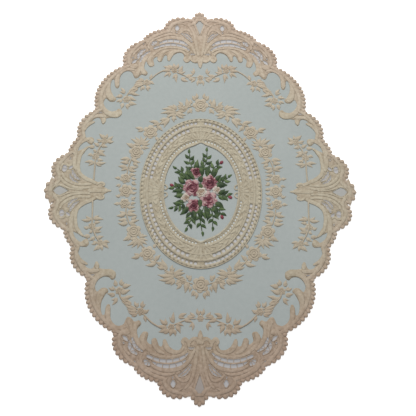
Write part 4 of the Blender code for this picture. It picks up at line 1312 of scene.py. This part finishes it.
# Leaflets: length, width and bow, how much shorter each pair is, where the first pair sits on the stem
# and how far apart pairs are, and the way they point; then the leaf at a sprig's end
LEAFLET, LEAFLET_LESS, LEAFLET_AT, LEAFLET_OUT = (7.8, 3.3, 0.1), 0.10, (0.22, 0.26), 0.72
END_LEAF = (5.5, 2.7)
BIG_LEAVES = (
    (-6.0, 12.0, -14.0, 26.0, 5.8), (1.0, 15.0, 3.0, 31.0, 5.6), (12.0, 14.0, 16.0, 25.0, 5.4),
    (15.0, 5.0, 25.0, 6.0, 5.2), (13.0, -11.0, 22.0, -18.0, 5.4), (4.0, -15.0, 6.0, -30.0, 5.4),
    (-8.0, -19.0, -7.0, -31.0, 5.2), (-12.0, -15.0, -20.0, -24.0, 5.2), (-16.0, -3.0, -26.0, -5.0, 5.0),
    (-15.0, 8.0, -22.0, 15.0, 5.2), (0.0, 9.0, 1.0, 17.0, 5.4), (-1.0, -8.0, -3.0, -18.0, 5.4),
    (1.0, 3.0, -1.0, 9.0, 5.0), (14.0, 10.0, 20.0, 17.0, 4.6), (-3.0, 22.0, -3.0, 33.0, 4.8),
    (12.0, -15.0, 15.0, -27.0, 5.0), (-10.0, 12.0, -19.0, 20.0, 5.0), (16.0, -2.0, 26.0, -1.0, 4.8),
    (-2.0, -17.0, -1.0, -30.0, 5.0), (6.0, 15.0, 9.0, 28.0, 5.0), (-17.0, 1.0, -27.0, 1.0, 4.6),
)
POSY_HEIGHT, BLOOM_HEIGHT, CREAM_BLOOM_HEIGHT = 0.62, 0.88, 1.05
BUD_HEIGHT, BUD_HALF = 0.8, (2.2, 1.6, 0.65)
# The silk: its stitches' length, how fine its strands are, and how much patches, strands and the painted
# shade on flanks show
SILK_STITCH, STRANDS = 0.6, 900.0
BY_PATCH, BY_STRAND, BY_FLANK_SHADE = 2.2, 0.7, 0.25
# Where the first tone of a silk stands on its ramp, and how far from it the last one does
FIRST_TONE, TONES_OVER = 0.12, 0.76


def silk(name, shades, scale, by_bloom):
    """Stranded silk shaded from one tone to the next: by its place in a bloom, or in soft patches."""
    material, nodes, shader = new_finish(name, 0.6)
    spot = nodes.spot()
    patch = nodes.clouds(spot, scale)
    strand = nodes.clouds(spot, STRANDS)
    stitch = nodes.mark("along").ridges(SILK_STITCH)
    blend = nodes.mark("apart") * by_bloom + (patch - 0.5) * BY_PATCH + (strand - 0.5) * BY_STRAND
    # The flank mark darkens the blend as painted shade
    blend = (blend + 0.5 - by_bloom * 0.5 - nodes.mark("flank_shade") * BY_FLANK_SHADE).clamped()
    ramp = nodes.add("ShaderNodeValToRGB", None, {"Fac": blend})
    stops = ramp.output.node.color_ramp
    while len(stops.elements) < len(shades):
        stops.elements.new(0.5)
    for number, shade in enumerate(shades):
        stops.elements[number].position = FIRST_TONE + TONES_OVER * number / (len(shades) - 1)
        stops.elements[number].color = dyed(*shade)
    dress(nodes, shader, ramp, stitch * 0.4 + strand, strength=0.5, depth=0.12, sheen=0.2)
    return material


leaf_silk = silk("leaf green silk", ((48, 68, 36), (72, 94, 50), (104, 122, 76)), 260.0, 0.0)
moss_silk = silk("moss green silk", ((36, 54, 30), (56, 76, 42), (84, 102, 60)), 220.0, 0.0)
rose_silk = silk("rose silk", ((74, 22, 34), (104, 44, 56), (138, 84, 92), (180, 150, 147)), 240.0, 1.0)
cream_silk = silk("cream silk", ((154, 128, 106), (180, 164, 147), (196, 188, 176)), 240.0, 1.0)
bud_silk = silk("deep rose silk", ((104, 36, 48), (144, 66, 78)), 300.0, 0.0)

light_leaves, dark_leaves, sprig_paths, bud_spots = [], [], [], []
for number, (*ends, bow) in enumerate(SPRIGS):
    stem = bowed(*ends, SPRIG_WIDTH, bow)
    sprig_paths.append(blunt(stem, 0.0))
    for pair in range(SPRIG_PAIRS):
        at = int((len(stem) - 1) * (LEAFLET_AT[0] + LEAFLET_AT[1] * pair))
        run = (Vector(stem[at + 1][:2]) - Vector(stem[at - 1][:2])).normalized()
        for side_sign in (1, -1):
            seat = Vector(stem[min(at + side_sign, len(stem) - 2)][:2])
            out = (run * LEAFLET_OUT + Vector((-run.y, run.x)) * side_sign * LEAFLET_OUT).normalized()
            length = LEAFLET[0] * (1.0 - LEAFLET_LESS * pair)
            leaflet = pointed(bowed(*seat, *(seat + out * length), LEAFLET[1], LEAFLET[2] * side_sign))
            (light_leaves if (pair + number) % 2 else dark_leaves).append(leaflet)
    # Every third sprig ends in a bud, and the others in a small leaf
    end = Vector(stem[-1][:2])
    run = (end - Vector(stem[-3][:2])).normalized()
    if number % 3 == 2:
        bud_spots.append((end.x, end.y, BUD_HEIGHT, math.atan2(run.y, run.x), *BUD_HALF))
    else:
        light_leaves.append(pointed(bowed(*end, *(end + run * END_LEAF[0]), END_LEAF[1])))
dark_leaves += [pointed(bowed(*leaf)) for leaf in BIG_LEAVES]
work_strokes("posy_stems", sprig_paths, SPRIG_HEIGHT, moss_silk, crown=0.8, foot=0.3, sides=8)
for name, leaves, thread in (("posy_leaves_light", light_leaves, leaf_silk),
                             ("posy_leaves_dark", dark_leaves, moss_silk)):
    work_strokes(name, leaves, POSY_HEIGHT, thread, crown=0.42, foot=0.45, cleft=0.45)
for name, spots, nodes, thread in (
        ("posy_blooms", rose_spots(BLOOMS, BLOOM_HEIGHT), rose_tree, rose_silk),
        ("posy_cream_blooms", rose_spots(CREAM_BLOOMS, CREAM_BLOOM_HEIGHT), rose_tree, cream_silk),
        ("posy_buds", bud_spots, knot_tree, bud_silk)):
    lay(name, work_spots(name, spots, nodes, thread))
